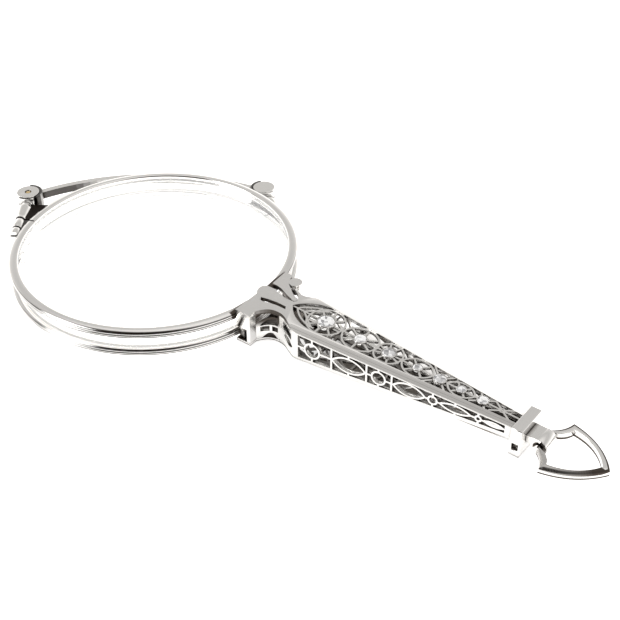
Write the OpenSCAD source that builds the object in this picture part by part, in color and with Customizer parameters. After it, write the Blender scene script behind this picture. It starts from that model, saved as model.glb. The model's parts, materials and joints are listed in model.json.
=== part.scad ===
// A folding lorgnette, closed. The upper lens rim is fixed to the handle. The lower
// one is joined to it by a curved bridge with a hinge at each end, and folds out in
// its own plane until the two lenses stand side by side.
// X runs along the handle, away from the lenses. Z = 0 is the surface it lies on.
// The origin is the middle of the fork's flat underside.

/* [Lens rims] */
// Outer diameter of each rim
rim_d = 41.5; // [38:0.1:44]
// Width of the rim wire, seen from above
rim_w = 1.3; // [1.1:0.05:1.6]
// Height of the rim wire
rim_h = 1.24; // [1.1:0.02:1.4]
// Height of the lower rim over the surface
rim_lift = 0.48; // [0.45:0.01:0.7]
// Rise from one rim to the other
rim_pitch = 2.88; // [2.8:0.02:3.4]
// Width of the saw cut in each rim
split_w = 0.3; // [0.2:0.05:0.5]
// Thickness of a lens at its edge
lens_edge = 0.6; // [0.5:0.05:0.8]
// Rise of each lens face at its middle
lens_dome = 0.22; // [0.1:0.02:0.25]
// Depth of the groove that holds the lens
groove_depth = 0.35; // [0.25:0.05:0.45]

/* [Hinges] */
// Distance of each hinge pin outside its rim
hinge_out = 4.05; // [3.9:0.05:5]
// Direction of the upper hinge from the centre of the rim
hinge_a = 184.6; // [180:0.2:190]
// Direction from the centre of the rim to the middle of the bridge
bridge_a = 137; // [134:0.2:140]
// Direction of the closing barrels from the upper hinge pin
barrel_a = -53.5; // [-56:0.5:-52]
// Radius of the round cheeks
cheek_r = 1.7; // [1.6:0.05:1.8]
// Thickness of one cheek
cheek_t = 0.45; // [0.35:0.05:0.5]
// Rise of the upper cheek over its rim
cheek_rise = 0.72; // [0.6:0.02:0.8]
// Height of the bridge's eye
eye_h = 1.4; // [1.3:0.05:1.6]
// Radius of the bridge's eye
eye_r = 1.35; // [1.25:0.05:1.4]
// Radius of the hinge pin
pin_r = 0.5; // [0.4:0.05:0.55]
// Radius of the closing barrels
barrel_r = 0.78; // [0.7:0.02:0.85]
// Radius of the closing screw's shank
screw_r = 0.35; // [0.25:0.05:0.4]
// Wire of the hinge spring
spring_wire = 0.22; // [0.18:0.02:0.24]

/* [Bridge] */
// Thickness of the bridge bar, seen from above
bridge_t = 0.9; // [0.7:0.05:1.1]
// Height of the bridge bar
bridge_h = 1.15; // [0.9:0.05:1.2]
// Gap between the rim and the middle of the bridge
bridge_gap = 0.9; // [0.6:0.1:1.6]
// Wall of the collar round each hinge
collar_t = 0.3; // [0.25:0.05:0.4]

/* [Fork] */
// Thickness of the top plate of the fork and handle
plate_t = 0.55; // [0.45:0.05:0.7]
// Thickness of the bottom plate
base_t = 0.4; // [0.3:0.02:0.42]
// Half width of the fork over its arms
fork_half = 5.45; // [5:0.05:6]
// Overlap of the fork over the edge of the rim
fork_lap = 0.75; // [0.6:0.05:1]
// Radius of the thumb button
button_r = 0.95; // [0.8:0.05:1]
// Height of the thumb button
button_h = 1.55; // [1:0.05:1.6]

/* [Handle] */
// Length from the middle of the fork to the end block
handle_len = 37.6; // [34:0.1:42]
// Half width of the handle at its shoulder
shoulder_half = 4.0; // [3.8:0.05:4.6]
// Half width of the handle at the end block
tail_half = 1.5; // [1.4:0.05:1.9]
// Drop of the top plate per millimetre of handle
top_slope = 0.040; // [0.03:0.002:0.045]
// Rise of the bottom plate per millimetre of handle
base_slope = 0.042; // [0.03:0.002:0.05]
// Width of the frame left beside the filigree
border = 1.25; // [1.1:0.05:1.4]
// Width of the sloping outer edge of the top frame
edge_w = 1.0; // [0.7:0.05:1.1]
// Fall of the sloping edge
edge_fall = 0.4; // [0.2:0.05:0.45]
// Thickness of the side panels
panel_t = 0.5; // [0.4:0.05:0.7]
// Width of the filigree wires
wire_w = 0.26; // [0.2:0.02:0.34]
// Thickness of the filigree
filigree_t = 0.35; // [0.25:0.05:0.4]
// Radius of the largest stone
stone_r = 1.16; // [0.9:0.02:1.2]
// Wall of the collets round the stones
collet_t = 0.17; // [0.12:0.01:0.2]

/* [End] */
// Length of the end block along the handle
block_l = 1.5; // [1.2:0.1:2]
// Half width of the end block
block_half = 2.5; // [2.3:0.1:3]
// Height of the end block
block_h = 4.2; // [4:0.1:4.4]
// Half width of the curled lug
lug_half = 1.3; // [1.1:0.05:1.4]
// Radius of the bail's bar
bar_r = 0.5; // [0.4:0.02:0.6]
// Height of the bail's pivot over the surface
bail_z = 1.9; // [1.7:0.05:2.2]
// Half width of the bail at its shoulders
bail_half = 4.6; // [4.2:0.1:5]
// Reach of the bail from its pivot
bail_len = 8.6; // [8:0.1:9.5]
// Width of the bail's band, seen from above
bail_w = 0.75; // [0.6:0.05:0.9]
// Height of the bail's band
bail_h = 1.0; // [0.8:0.05:1.1]

/* [Clearances] */
// Radial clearance of a pin in the eye that turns on it
pin_clear = 0.04; // [0.02:0.01:0.08]
// Gap on each side of the bridge's eye
side_gap = 0.05; // [0.03:0.01:0.08]
// Radial clearance of the lens in its groove
lens_clear = 0.02; // [0.01:0.01:0.05]
// Gap between the catch lever and the plate that it is cut from
lever_gap = 0.05; // [0.04:0.01:0.1]

/* [Hidden] */
$fn = 48;
round_fn = 96;
eps = 0.01;
far = 60;
silver = [0.80, 0.79, 0.77];
gold = [0.78, 0.62, 0.32];
clear = [0.86, 0.91, 0.93, 0.5];

// Levels and places
rim_r = rim_d / 2;
hinge_r = rim_r + hinge_out;
fork_x = -(fork_lap + 1.75);
ring_x = fork_x + fork_lap - rim_r;
low_z = rim_lift + rim_h;
high_z = low_z + rim_pitch;
top_z = high_z + plate_t;
cheek_top = cheek_rise;
eye_top = cheek_top - cheek_t - side_gap;
eye_bottom = eye_top - eye_h;
cheek_bottom = eye_bottom - side_gap - cheek_t;
half_span = hinge_a - bridge_a;

// Stations along the closing barrels, from the hinge pin
web_in = eye_r + 0.12;
web_out = cheek_r + 0.3;
waist_start = 2.3;
body_start = 3.0;
neck_r = 1.02;
waist_r = 0.88;
body_end = 6.3;
barrel_gap = 0.35;
barrel2_start = body_end + barrel_gap;
barrel2_end = barrel2_start + 2.1;
head_start = barrel2_end + 0.25;
head_end = head_start + 1.35;
head_r = barrel_r - 0.05;
wire_z = -rim_h / 2;

function polar(r, a) = [r * cos(a), r * sin(a)];
// Points of a bowed line from p to q. A positive bow swells to the left of the way.
function bowed(p, q, bow, n) = let (d = q - p, side = [-d[1], d[0]] / norm(d))
    [for (i = [0:n]) let (t = i / n) p + d * t + side * 4 * bow * t * (1 - t)];
hinge_at = polar(hinge_r, hinge_a);
split_at = hinge_at + polar(body_end + barrel_gap / 2, barrel_a);
split_a = atan2(split_at[1], split_at[0]);

// Places a shape of the upper lens half. Its own Z = 0 is the top of the rim.
module at_fixed() {
    translate([ring_x, 0, high_z]) children();
}

// The lower lens half is the mirror image of the upper one, across the bridge.
module at_folding() {
    translate([ring_x, 0, low_z])
        rotate(bridge_a) mirror([0, 1, 0]) rotate(-bridge_a) children();
}

// Puts a shape at the hinge pin, with X along the closing barrels.
module at_hinge() {
    translate(hinge_at) rotate(barrel_a) children();
}

// A rod along the closing barrels' axis, from one station to another
module along_barrel(from, to, r1, r2) {
    translate([from, 0, wire_z]) rotate([0, 90, 0])
        cylinder(h = to - from, r1 = r1, r2 = r2);
}

// Section of the rim wire: flat top and bottom, a bead between two coves
function bead(r, h, n) = [for (i = [0:n])
    let (a = -60 + 120 * i / n) [r - 0.34 + 0.34 * cos(a), -h / 2 + 0.36 * sin(a) / sin(60)]];
module rim_section(groove) {
    lip = 0.13;
    cove = 0.15;
    difference() {
        polygon(concat(
            [[rim_r - rim_w, -rim_h], [rim_r - 0.03, -rim_h], [rim_r, -rim_h + 0.04],
             [rim_r, -rim_h + lip], [rim_r - cove, -rim_h + lip + 0.06]],
            bead(rim_r, rim_h, 8),
            [[rim_r - cove, -lip - 0.06], [rim_r, -lip], [rim_r, -0.04],
             [rim_r - 0.03, 0], [rim_r - rim_w, 0]]));
        if (groove)
            translate([rim_r - rim_w - 1, -rim_h / 2 - lens_edge / 2 - lens_clear])
                square([1 + groove_depth, lens_edge + 2 * lens_clear]);
    }
}

module rim_shape() {
    difference() {
        rotate_extrude($fn = round_fn) rim_section(true);
        rotate(split_a) translate([rim_r - 3, -split_w / 2, -rim_h - 1])
            cube([6, split_w, rim_h + 2]);
        // Notch that clears the head of the closing screw
        at_hinge() along_barrel(barrel2_end - 0.1, head_end + 1, head_r + 0.05, head_r + 0.05);
    }
}

// The full rim and all inside it, used to fit other pieces against its outer face
module rim_bar() {
    rotate_extrude($fn = round_fn) rim_section(false);
    translate([0, 0, -rim_h]) cylinder(h = rim_h, r = rim_r - rim_w / 2, $fn = round_fn);
}

module lens_shape() {
    r = rim_r - rim_w + groove_depth - lens_clear;
    curve_r = (r * r + lens_dome * lens_dome) / (2 * lens_dome);
    face = [for (i = [0:8]) let (x = r * i / 8)
        [x, sqrt(curve_r * curve_r - x * x) - curve_r + lens_dome]];
    translate([0, 0, -rim_h / 2]) rotate_extrude($fn = round_fn)
        polygon(concat(
            [for (p = face) [p[0], p[1] + lens_edge / 2]],
            [for (i = [8:-1:0]) [face[i][0], -face[i][1] - lens_edge / 2]]));
}

// Cheeks, web, waist and first closing barrel of one lens half
module bracket_shape(open_top) {
    difference() {
        union() {
            at_hinge() {
                for (z = [cheek_top - cheek_t, cheek_bottom])
                    translate([0, 0, z]) cylinder(h = cheek_t, r = cheek_r);
                translate([0, 0, cheek_bottom])
                    linear_extrude(cheek_top - 0.12 - cheek_bottom) web_plan();
                along_barrel(cheek_r, waist_start, neck_r, neck_r);
                along_barrel(waist_start, body_start, waist_r, waist_r);
                along_barrel(body_start, body_end - 0.3, neck_r, barrel_r);
                along_barrel(body_end - 0.3, body_end, barrel_r + 0.06, barrel_r + 0.06);
                foot(waist_start, body_end);
            }
        }
        at_hinge() {
            bore_from = open_top ? cheek_bottom + cheek_t / 2 : cheek_bottom - 1;
            bore_to = open_top ? cheek_top + 1 : cheek_top - cheek_t / 2;
            translate([0, 0, bore_from]) cylinder(h = bore_to - bore_from, r = pin_r);
            along_barrel(body_end - 1.7, body_end + 1, screw_r, screw_r);
        }
        rim_bar();
    }
}

module web_plan() {
    intersection() {
        difference() {
            circle(web_out);
            circle(web_in);
        }
        polygon([[0, 0], [3, -2.1], [3, 2.1]]);
    }
}

// Block between a barrel and the outer face of the rim, soldered to both
foot_h = 0.8;
foot_reach = 4.2;
module foot(from, to) {
    translate([from, 0, wire_z - foot_h / 2]) cube([to - from, foot_reach, foot_h]);
}

module screw_barrel_shape() {
    difference() {
        at_hinge() {
            along_barrel(barrel2_start, barrel2_end, barrel_r, barrel_r);
            foot(barrel2_start, barrel2_end);
        }
        at_hinge() along_barrel(barrel2_start - 1, barrel2_end + 1,
            screw_r + pin_clear, screw_r + pin_clear);
        rim_bar();
    }
}

module screw_shape() {
    at_hinge() difference() {
        union() {
            along_barrel(body_end - 1.6, head_start + eps, screw_r, screw_r);
            along_barrel(barrel2_end, head_end - 0.2, barrel_r - 0.18, barrel_r - 0.18);
            along_barrel(head_start, head_end, head_r, head_r);
        }
        translate([head_end - 0.35, -2, wire_z - 0.12]) cube([1, 4, 0.24]);
    }
}

module pin_shape(open_top) {
    low = open_top ? cheek_bottom + cheek_t / 2 : cheek_bottom;
    high = open_top ? cheek_top : cheek_top - cheek_t / 2;
    at_hinge() translate([0, 0, low]) cylinder(h = high - low, r = pin_r);
}

// The hinge spring: three turns of wire in the hollow of the bridge's eye
spring_turns = 3;
spring_mean = pin_r + 0.13 + spring_wire / 2;
spring_pitch = spring_wire + 0.04;
spring_rings = 12;
module spring_shape() {
    sides = 6;
    n = spring_turns * spring_rings;
    function at(i, k) = let (a = 360 * i / spring_rings, b = 360 * k / sides,
        r = spring_mean + spring_wire / 2 * cos(b))
        [r * cos(a), r * sin(a), spring_pitch * i / spring_rings + spring_wire / 2 * sin(b)];
    points = [for (i = [0:n]) for (k = [0:sides - 1]) at(i, k)];
    skin = [for (i = [0:n - 1]) for (k = [0:sides - 1]) let (m = (k + 1) % sides)
        [i * sides + k, (i + 1) * sides + k, (i + 1) * sides + m, i * sides + m]];
    ends = [[for (k = [0:sides - 1]) k], [for (k = [sides - 1:-1:0]) n * sides + k]];
    translate([hinge_at[0], hinge_at[1], eye_top - spring_wire / 2 - 0.03])
        mirror([0, 0, 1]) polyhedron(points, concat(skin, ends), convexity = 6);
}

module fixed_rim() { color(silver) at_fixed() rim_shape(); }
module fixed_lens() { color(clear) at_fixed() lens_shape(); }
module fixed_hinge_bracket() { color(silver) at_fixed() bracket_shape(true); }
module fixed_screw_barrel() { color(silver) at_fixed() screw_barrel_shape(); }
module fixed_rim_screw() { color(silver) at_fixed() screw_shape(); }
module fixed_hinge_pin() { color(gold) at_fixed() pin_shape(true); }
module fixed_hinge_spring() { color(gold) at_fixed() spring_shape(); }
module folding_rim() { color(silver) at_folding() rim_shape(); }
module folding_lens() { color(clear) at_folding() lens_shape(); }
module folding_hinge_bracket() { color(silver) at_folding() bracket_shape(false); }
module folding_screw_barrel() { color(silver) at_folding() screw_barrel_shape(); }
module folding_rim_screw() { color(silver) at_folding() screw_shape(); }
module folding_hinge_pin() { color(gold) at_folding() pin_shape(false); }
module folding_hinge_spring() { color(gold) at_folding() spring_shape(); }

// The bridge is one arc between the two pins, bowed close round the rims. It is
// tilted, because its ends meet the rims at their own levels.
bow_mid = rim_r + bridge_gap + bridge_t / 2;
half_chord = hinge_r * sin(half_span);
sagitta = bow_mid - hinge_r * cos(half_span);
bow_r = (half_chord * half_chord + sagitta * sagitta) / (2 * sagitta);
bow_half = asin(half_chord / bow_r);
bridge_tilt = atan(rim_pitch / (2 * half_chord));
eye_mid = (eye_top + eye_bottom) / 2;
collar_in = cheek_r + 0.15;

// The bar has a fine groove under its upper outer edge.
bead_h = 0.2;
groove_h = 0.12;
module bridge_section() {
    low = bridge_h - bead_h - groove_h;
    polygon([[0, 0], [bridge_t - 0.1, 0], [bridge_t, 0.1], [bridge_t, low],
             [bridge_t - 0.12, low + 0.04], [bridge_t - 0.12, low + groove_h - 0.02],
             [bridge_t, low + groove_h], [bridge_t, bridge_h], [0, bridge_h]]);
}

module bridge_end() {
    translate([hinge_at[0], hinge_at[1], eye_bottom]) cylinder(h = eye_h, r = eye_r);
    translate([hinge_at[0], hinge_at[1], cheek_bottom + 0.1])
        linear_extrude(cheek_top - cheek_bottom - 0.16) intersection() {
            difference() {
                circle(collar_in + collar_t);
                circle(collar_in);
            }
            polygon(concat([[0, 0]], [for (a = [-5:27:130]) polar(4, a)]));
        }
}

module bridge_end_bores() {
    translate(hinge_at) {
        translate([0, 0, eye_bottom - 1]) cylinder(h = eye_h + 2, r = pin_r + pin_clear);
        translate([0, 0, eye_top - spring_turns * spring_pitch - spring_wire - 0.06])
            cylinder(h = 2, r = spring_mean + spring_wire / 2 + 0.05);
    }
}

module bridge() {
    color(silver) difference() {
        union() {
            translate([ring_x, 0, (high_z + low_z) / 2 + eye_mid]) rotate(bridge_a)
                translate([bow_mid - bow_r, 0, 0]) rotate([bridge_tilt, 0, 0])
                rotate(-bow_half + 1) rotate_extrude(angle = 2 * bow_half - 2, $fn = 180)
                translate([bow_r - bridge_t / 2, -bridge_h / 2]) bridge_section();
            at_fixed() bridge_end();
            at_folding() bridge_end();
        }
        at_fixed() bridge_end_bores();
        at_folding() bridge_end_bores();
    }
}

// Catch lug of the lower rim, soldered to its outer face
lug_a = -12;
lug_r = rim_r + 0.95;
module catch_lug() {
    color(silver) translate([ring_x, 0, low_z]) difference() {
        rotate(lug_a) translate([rim_r - 0.3, -0.6, -rim_h + 0.05])
            cube([lug_r - rim_r + 0.25, 1.2, rim_h - 0.1]);
        rim_bar();
    }
}

// End of the near fork block, towards the handle
block_end = -0.1;

// Outline of the handle, from the fork's neck to the end block
neck_half = 2.45;
ogee_start = 2.6;
ogee_end = 6.6;
function outer_half(x) = x < ogee_end
    ? neck_half + (shoulder_half - neck_half)
        * (1 - cos(180 * (x - ogee_start) / (ogee_end - ogee_start))) / 2
    : shoulder_half + (tail_half - shoulder_half) * (x - ogee_end) / (handle_len - ogee_end);

// Opening for the filigree: a pointed leaf that runs into a long taper
leaf_tip = 3.0;
leaf_end = 8.0;
leaf_half = shoulder_half - border;
leaf_line = 0.55;
leaf_r = ((leaf_end - leaf_tip) * (leaf_end - leaf_tip) + leaf_half * leaf_half) / (2 * leaf_half);
tail_open = tail_half - border * 0.55;
function leaf_y(x) = leaf_half - leaf_r + sqrt(leaf_r * leaf_r - (leaf_end - x) * (leaf_end - x));
function open_half(x) = x < leaf_end ? leaf_y(x)
    : leaf_half + (tail_open - leaf_half) * (x - leaf_end) / (handle_len - leaf_end);

// Edge of the fork's plates, from the near block to the neck
fork_root_half = 4.2;
function fork_edge(x) = let (t = (ogee_start - x) / (ogee_start - block_end))
    neck_half + (fork_root_half - neck_half) * t * t * t;
fork_edge_steps = 8;
function fork_edge_points(inset) = [for (i = [0:fork_edge_steps])
    let (x = block_end + (ogee_start - block_end) * i / fork_edge_steps) [x, fork_edge(x) - inset]];
function turned(points) = [for (i = [len(points) - 1:-1:0]) points[i]];
function flipped(points) = [for (p = points) [p[0], -p[1]]];
function tail_of(points) = [for (i = [1:len(points) - 1]) points[i]];

module both_sides(points) {
    polygon(concat(points, [for (i = [len(points) - 1:-1:0]) [points[i][0], -points[i][1]]]));
}
module opening_plan() {
    both_sides(concat([for (i = [0:8]) let (x = leaf_tip + (leaf_end - leaf_tip) * i / 8)
        [x, open_half(x)]], [[handle_len, open_half(handle_len)]]));
}
handle_points = concat(
    [for (i = [0:10]) let (x = ogee_start + (ogee_end - ogee_start) * i / 10) [x, outer_half(x)]],
    [[handle_len, outer_half(handle_len)]]);
module handle_plan() { both_sides(handle_points); }

// A plate cut from the outline that it is given. It is flat at the fork and leans
// along the handle, towards the other plate.
module leaning_plate(z, t, slope) {
    end_z = z + slope * (handle_len - ogee_start);
    intersection() {
        linear_extrude(far) children();
        translate([0, far / 2, 0]) rotate([90, 0, 0]) linear_extrude(far)
            polygon([[fork_x - far, z], [ogee_start, z], [handle_len, end_z],
                     [handle_len, end_z + t], [ogee_start, z + t], [fork_x - far, z + t]]);
    }
}
module top_plate() { leaning_plate(top_z - plate_t, plate_t, -top_slope) children(); }
module base_plate() { leaning_plate(0, base_t, base_slope) children(); }

// Places a shape on the leaning top face.
module on_top() {
    translate([ogee_start, 0, top_z]) rotate([0, atan(top_slope), 0])
        translate([-ogee_start, 0, 0]) children();
}
function under_top(x) = top_z - plate_t - top_slope * (x - ogee_start);
function over_base(x) = base_t + base_slope * (x - ogee_start);
module between_plates() {
    x1 = handle_len;
    translate([0, far / 2, 0]) rotate([90, 0, 0]) linear_extrude(far)
        polygon([[0, base_t], [ogee_start, base_t], [x1, over_base(x1)], [x1, under_top(x1)],
                 [ogee_start, top_z - plate_t], [0, top_z - plate_t]]);
}

// The top frame: near arm, tongue, neck and handle in one plate. The far arm of the
// fork is the catch lever.
tongue_x = fork_x - 0.6;
lever_notch = [[1.1, 3.15], [1.0, 2.95], [2.1, 2.3], [2.7, 1.5], [2.7, 0.62], [1.3, 0.55],
               [-0.6, 1.05], [-0.85, 1.35]];
tongue_points = [[fork_x, 1.3], [tongue_x + 0.1, 0.85], [tongue_x, 0.3],
                 [tongue_x + 0.15, -0.3], [fork_x, -0.95]];
slot_points = [[-1.5, -1.25], [-1.2, -1.75], [-0.8, -1.85], [0.2, -1.6], [1.3, -1.4],
               [2.8, -1.4], [2.5, -0.9], [1, -0.85], [-0.4, -1.0]];
module top_frame_plan() {
    difference() {
        polygon(concat(lever_notch, tongue_points, [[fork_x, -fork_half], [block_end, -fork_half]],
            flipped(fork_edge_points(0)), flipped(tail_of(handle_points)), turned(handle_points)));
        polygon(slot_points);
    }
}

// Wedge that slopes a long edge of the top frame outwards. It runs out at the shoulder.
taper_a = atan((shoulder_half - tail_half) / (handle_len - ogee_end));
module edge_wedge() {
    beyond = 2;
    translate([ogee_end, shoulder_half, 0]) rotate([0, 0, -taper_a])
        translate([ogee_start - ogee_end, 0, 0]) rotate([90, 0, 90]) linear_extrude(far)
        polygon([[-edge_w, 0], [beyond, -edge_fall * (1 + beyond / edge_w)],
                 [beyond, beyond], [-edge_w, beyond]]);
}

// The lever's root is a round end that turns on a pin in the neck post.
lever_pin_at = [2.42, 1.12];
lever_root_r = 0.42;
lever_pin_r = 0.2;
lever_end = fork_half - 0.1;
lever_points = [[fork_x + 0.25, 2.2], [-1.4, 2.15], [-0.4, 1.9], [1.3, 1.15], [2.2, 0.82],
                [2.6, 1.1], [2.5, 1.4], [1.3, 2.1], [-0.35, 3.4], [-0.8, 4.0], [-0.95, 4.6],
                [-1.0, lever_end - 0.35], [-1.25, lever_end - 0.05], [fork_x, lever_end]];
module lever_plan() {
    translate(lever_pin_at) circle(lever_root_r);
    polygon(lever_points);
}

module handle_top_frame() {
    color(silver) difference() {
        top_plate() difference() {
            top_frame_plan();
            opening_plan();
            lever_seat();
        }
        on_top() for (s = [0, 1]) mirror([0, s, 0]) edge_wedge();
    }
}
module lever_seat() { translate(lever_pin_at) circle(lever_root_r + lever_gap); }

// Near block of the fork. It is cut away at both rim levels, and the lower cut is
// the recess that the catch lug swings out of.
recess_top = low_z + 0.74;
recess_r = rim_r + 1.75;
module fork_block() {
    color(silver) difference() {
        translate([fork_x, -fork_half, base_t])
            cube([block_end - fork_x, 1.3, top_z - plate_t - base_t]);
        translate([ring_x, 0, high_z - rim_h - 0.2]) cylinder(h = far, r = rim_r + 0.05, $fn = round_fn);
        translate([ring_x, 0, base_t - 1]) cylinder(h = recess_top - base_t + 1,
            r = recess_r, $fn = round_fn);
    }
}

// Pierced gallery under the fork's near edge, from the block to the neck: an arched
// rail over two small windows, with a wide opening above it
gallery_t = 0.5;
gallery_inset = 0.05;
gallery_rail = 0.3;
gallery_arch_z = [2.7, 3.65];
gallery_window_z = [1.5, 2.3];
gallery_top = top_z - plate_t - 0.2;
module fork_gallery() {
    from = block_end;
    to = ogee_start;
    mid = (from + to) / 2;
    color(silver) intersection() {
        translate([0, 0, base_t]) linear_extrude(top_z - plate_t - base_t)
            polygon(concat(flipped(fork_edge_points(gallery_inset)),
                flipped(turned(fork_edge_points(gallery_inset + gallery_t)))));
        translate([0, far, 0]) rotate([90, 0, 0]) linear_extrude(2 * far) difference() {
            translate([from, 0]) square([to - from, top_z]);
            // Wide opening between the plate and the arched rail
            polygon(concat(bowed([from, gallery_arch_z[0] + gallery_rail],
                [to - gallery_rail, gallery_arch_z[1] + gallery_rail], 0.3, 6),
                [[to - gallery_rail, gallery_top], [from, gallery_top]]));
            // Window under the rail
            polygon(concat(bowed([from + gallery_rail, gallery_arch_z[0]],
                [to - gallery_rail, gallery_arch_z[1]], 0.25, 6),
                [[to - gallery_rail, gallery_window_z[1] + gallery_rail],
                 [from + gallery_rail, gallery_window_z[1] + gallery_rail / 2]]));
            // Two square windows below
            for (x = [from + gallery_rail, mid + gallery_rail / 2])
                translate([x, gallery_window_z[0]])
                    square([mid - from - 1.5 * gallery_rail, gallery_window_z[1] - gallery_window_z[0]]);
            // Arch at the foot
            polygon(bowed([from + 0.2, 0], [to - 0.2, 0], 1.2, 8));
        }
    }
}

post_start = 2.05;
post_half = 1.5;
module neck_post() {
    color(silver) difference() {
        intersection() {
            between_plates();
            translate([post_start, -post_half, 0]) cube([1.6, 2 * post_half, top_z]);
        }
        translate([lever_pin_at[0], lever_pin_at[1], lever_pin_low]) cylinder(h = far, r = lever_pin_r);
    }
}

// Pin that the catch lever turns on, sunk in the neck post
lever_pin_low = top_z - plate_t - 1.2;
lever_pin_top = top_z - 0.2;
module lever_pin() {
    color(gold) translate([lever_pin_at[0], lever_pin_at[1], lever_pin_low])
        cylinder(h = lever_pin_top - lever_pin_low, r = lever_pin_r);
}

// Bottom plate of the fork, under the lower rim
module fork_base() {
    color(silver) linear_extrude(base_t)
        both_sides(concat([[fork_x, fork_half], [block_end, fork_half]], fork_edge_points(0)));
}

module handle_base() {
    color(silver) base_plate() {
        difference() {
            handle_plan();
            opening_plan();
        }
        lattice_plan();
    }
}

// Wires of the filigree
module ring_plan(r, w) {
    difference() {
        circle(r);
        circle(r - w);
    }
}
// Pointed oval of half length a and half height b
module vesica_wire(a, b, w) {
    r = (a * a + b * b) / (2 * b);
    difference() {
        intersection() {
            translate([0, r - b]) circle(r);
            translate([0, b - r]) circle(r);
        }
        intersection() {
            translate([0, r - b]) circle(r - w);
            translate([0, b - r]) circle(r - w);
        }
    }
}
module spokes(n, r, w, turn) {
    for (i = [0:n - 1]) rotate(turn + 360 * i / n) translate([0, -w / 2]) square([r, w]);
}

// Stones along the handle: place as a share of its length, size as a share of the largest
stone_place = [0.2274, 0.375, 0.492, 0.609, 0.6968, 0.7793, 0.8617];
stone_share = [1, 0.65, 0.715, 0.455, 0.64, 0.44, 0.54];
stone_x = [for (place = stone_place) place * handle_len];
stone_count = len(stone_x);
function seat_r(i) = stone_r * stone_share[i] + collet_t;

// Wires round each stone: a circle, a pointed oval of a given half length, or spokes alone
circled = [1, 0, 1, 0, 0, 0, 0];
oval_half = [for (share = [0, 0.0758, 0, 0.0652, 0, 0.0559, 0]) share * handle_len];
spoke_count = [8, 6, 8, 4, 4, 4, 4];
spoke_reach = [2.6, 2.3, 2.2, 1.7, 2.4, 1.3, 1.8];
spoke_turn = [0, 30, 22.5, 45, 45, 45, 35];
wire_lap = 0.03;
module stone_cell(i) {
    edge = open_half(stone_x[i]) + wire_lap;
    if (circled[i]) ring_plan(edge, wire_w);
    if (oval_half[i] > 0) vesica_wire(oval_half[i], edge, wire_w);
    spokes(spoke_count[i], spoke_reach[i], wire_w, spoke_turn[i]);
}

// Wires of the pointed leaf before the first stone
brace_from = leaf_tip + 1.9;
brace_a = 38;
brace_l = 3.5;
module leaf_wires() {
    for (s = [0, 1]) mirror([0, s]) {
        intersection() {
            translate([leaf_end, leaf_half - leaf_r]) ring_plan(leaf_r - leaf_line, wire_w);
            translate([leaf_tip, 0]) square([leaf_end - leaf_tip, leaf_half]);
        }
        translate([brace_from, 0]) rotate(brace_a) translate([0, -wire_w / 2]) square([brace_l, wire_w]);
    }
    translate([leaf_tip, -wire_w / 2]) square([brace_from - leaf_tip + 1, wire_w]);
}

// Small open knot between the last stone and the block
knot_x = 0.9335 * handle_len;
knot_r = 0.42;
knot_a = 35;
module end_knot() {
    translate([knot_x, 0]) {
        ring_plan(knot_r, wire_w * 0.8);
        for (a = [knot_a, 180 - knot_a, 180 + knot_a, -knot_a]) rotate(a)
            translate([knot_r - wire_w / 2, -wire_w / 2]) square([1.4, wire_w]);
    }
}

spine_start = stone_x[0] + 2;
module lattice_plan() {
    intersection() {
        opening_plan();
        union() {
            leaf_wires();
            for (i = [0:stone_count - 1]) translate([stone_x[i], 0]) stone_cell(i);
            end_knot();
            translate([spine_start, -wire_w / 2]) square([handle_len - spine_start, wire_w]);
        }
    }
}

module top_filigree() {
    color(silver) on_top() translate([0, 0, -0.12 - filigree_t]) linear_extrude(filigree_t)
        difference() {
            lattice_plan();
            for (i = [0:stone_count - 1]) translate([stone_x[i], 0]) circle(seat_r(i));
        }
}

module stone_collets() {
    color(silver) on_top() for (i = [0:stone_count - 1])
        translate([stone_x[i], 0, -0.12 - filigree_t]) rotate_extrude() {
            r = seat_r(i) - collet_t;
            polygon([[r - 0.2, 0], [seat_r(i), 0], [seat_r(i), 0.5], [seat_r(i) - 0.05, 0.62],
                     [r, 0.62], [r, 0.42], [r - 0.2, 0.12]]);
        }
}

module stones() {
    color(clear) on_top() for (i = [0:stone_count - 1])
        translate([stone_x[i], 0, -0.12 - filigree_t]) rotate_extrude($fn = 16) {
            r = seat_r(i) - collet_t - 0.01;
            polygon([[0, -0.05 - r * 0.1], [r - 0.2, 0.14], [r, 0.44], [r, 0.5],
                     [r * 0.58, 0.62 + r * 0.16], [0, 0.62 + r * 0.16]]);
        }
}

// Side panels: the same rhythm as the top, circles and pointed ovals in turn
module panel_plan() {
    polygon(concat(
        [for (i = [0:10]) let (x = ogee_start + (ogee_end - ogee_start) * i / 10) [x, outer_half(x)]],
        [[handle_len, outer_half(handle_len)], [handle_len, outer_half(handle_len) - panel_t]],
        [for (i = [10:-1:0]) let (x = ogee_start + (ogee_end - ogee_start) * i / 10)
            [x, outer_half(x) - panel_t]]));
}
function mid_z(x) = (under_top(x) + over_base(x)) / 2;
panel_start = ogee_end + 0.25;
panel_end = handle_len - 1.2;
module panel_window() {
    polygon([[panel_start, over_base(panel_start) + 0.1], [panel_end, over_base(panel_end) + 0.15],
             [panel_end, under_top(panel_end) - 0.1], [panel_start, under_top(panel_start) - 0.1]]);
}

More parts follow.
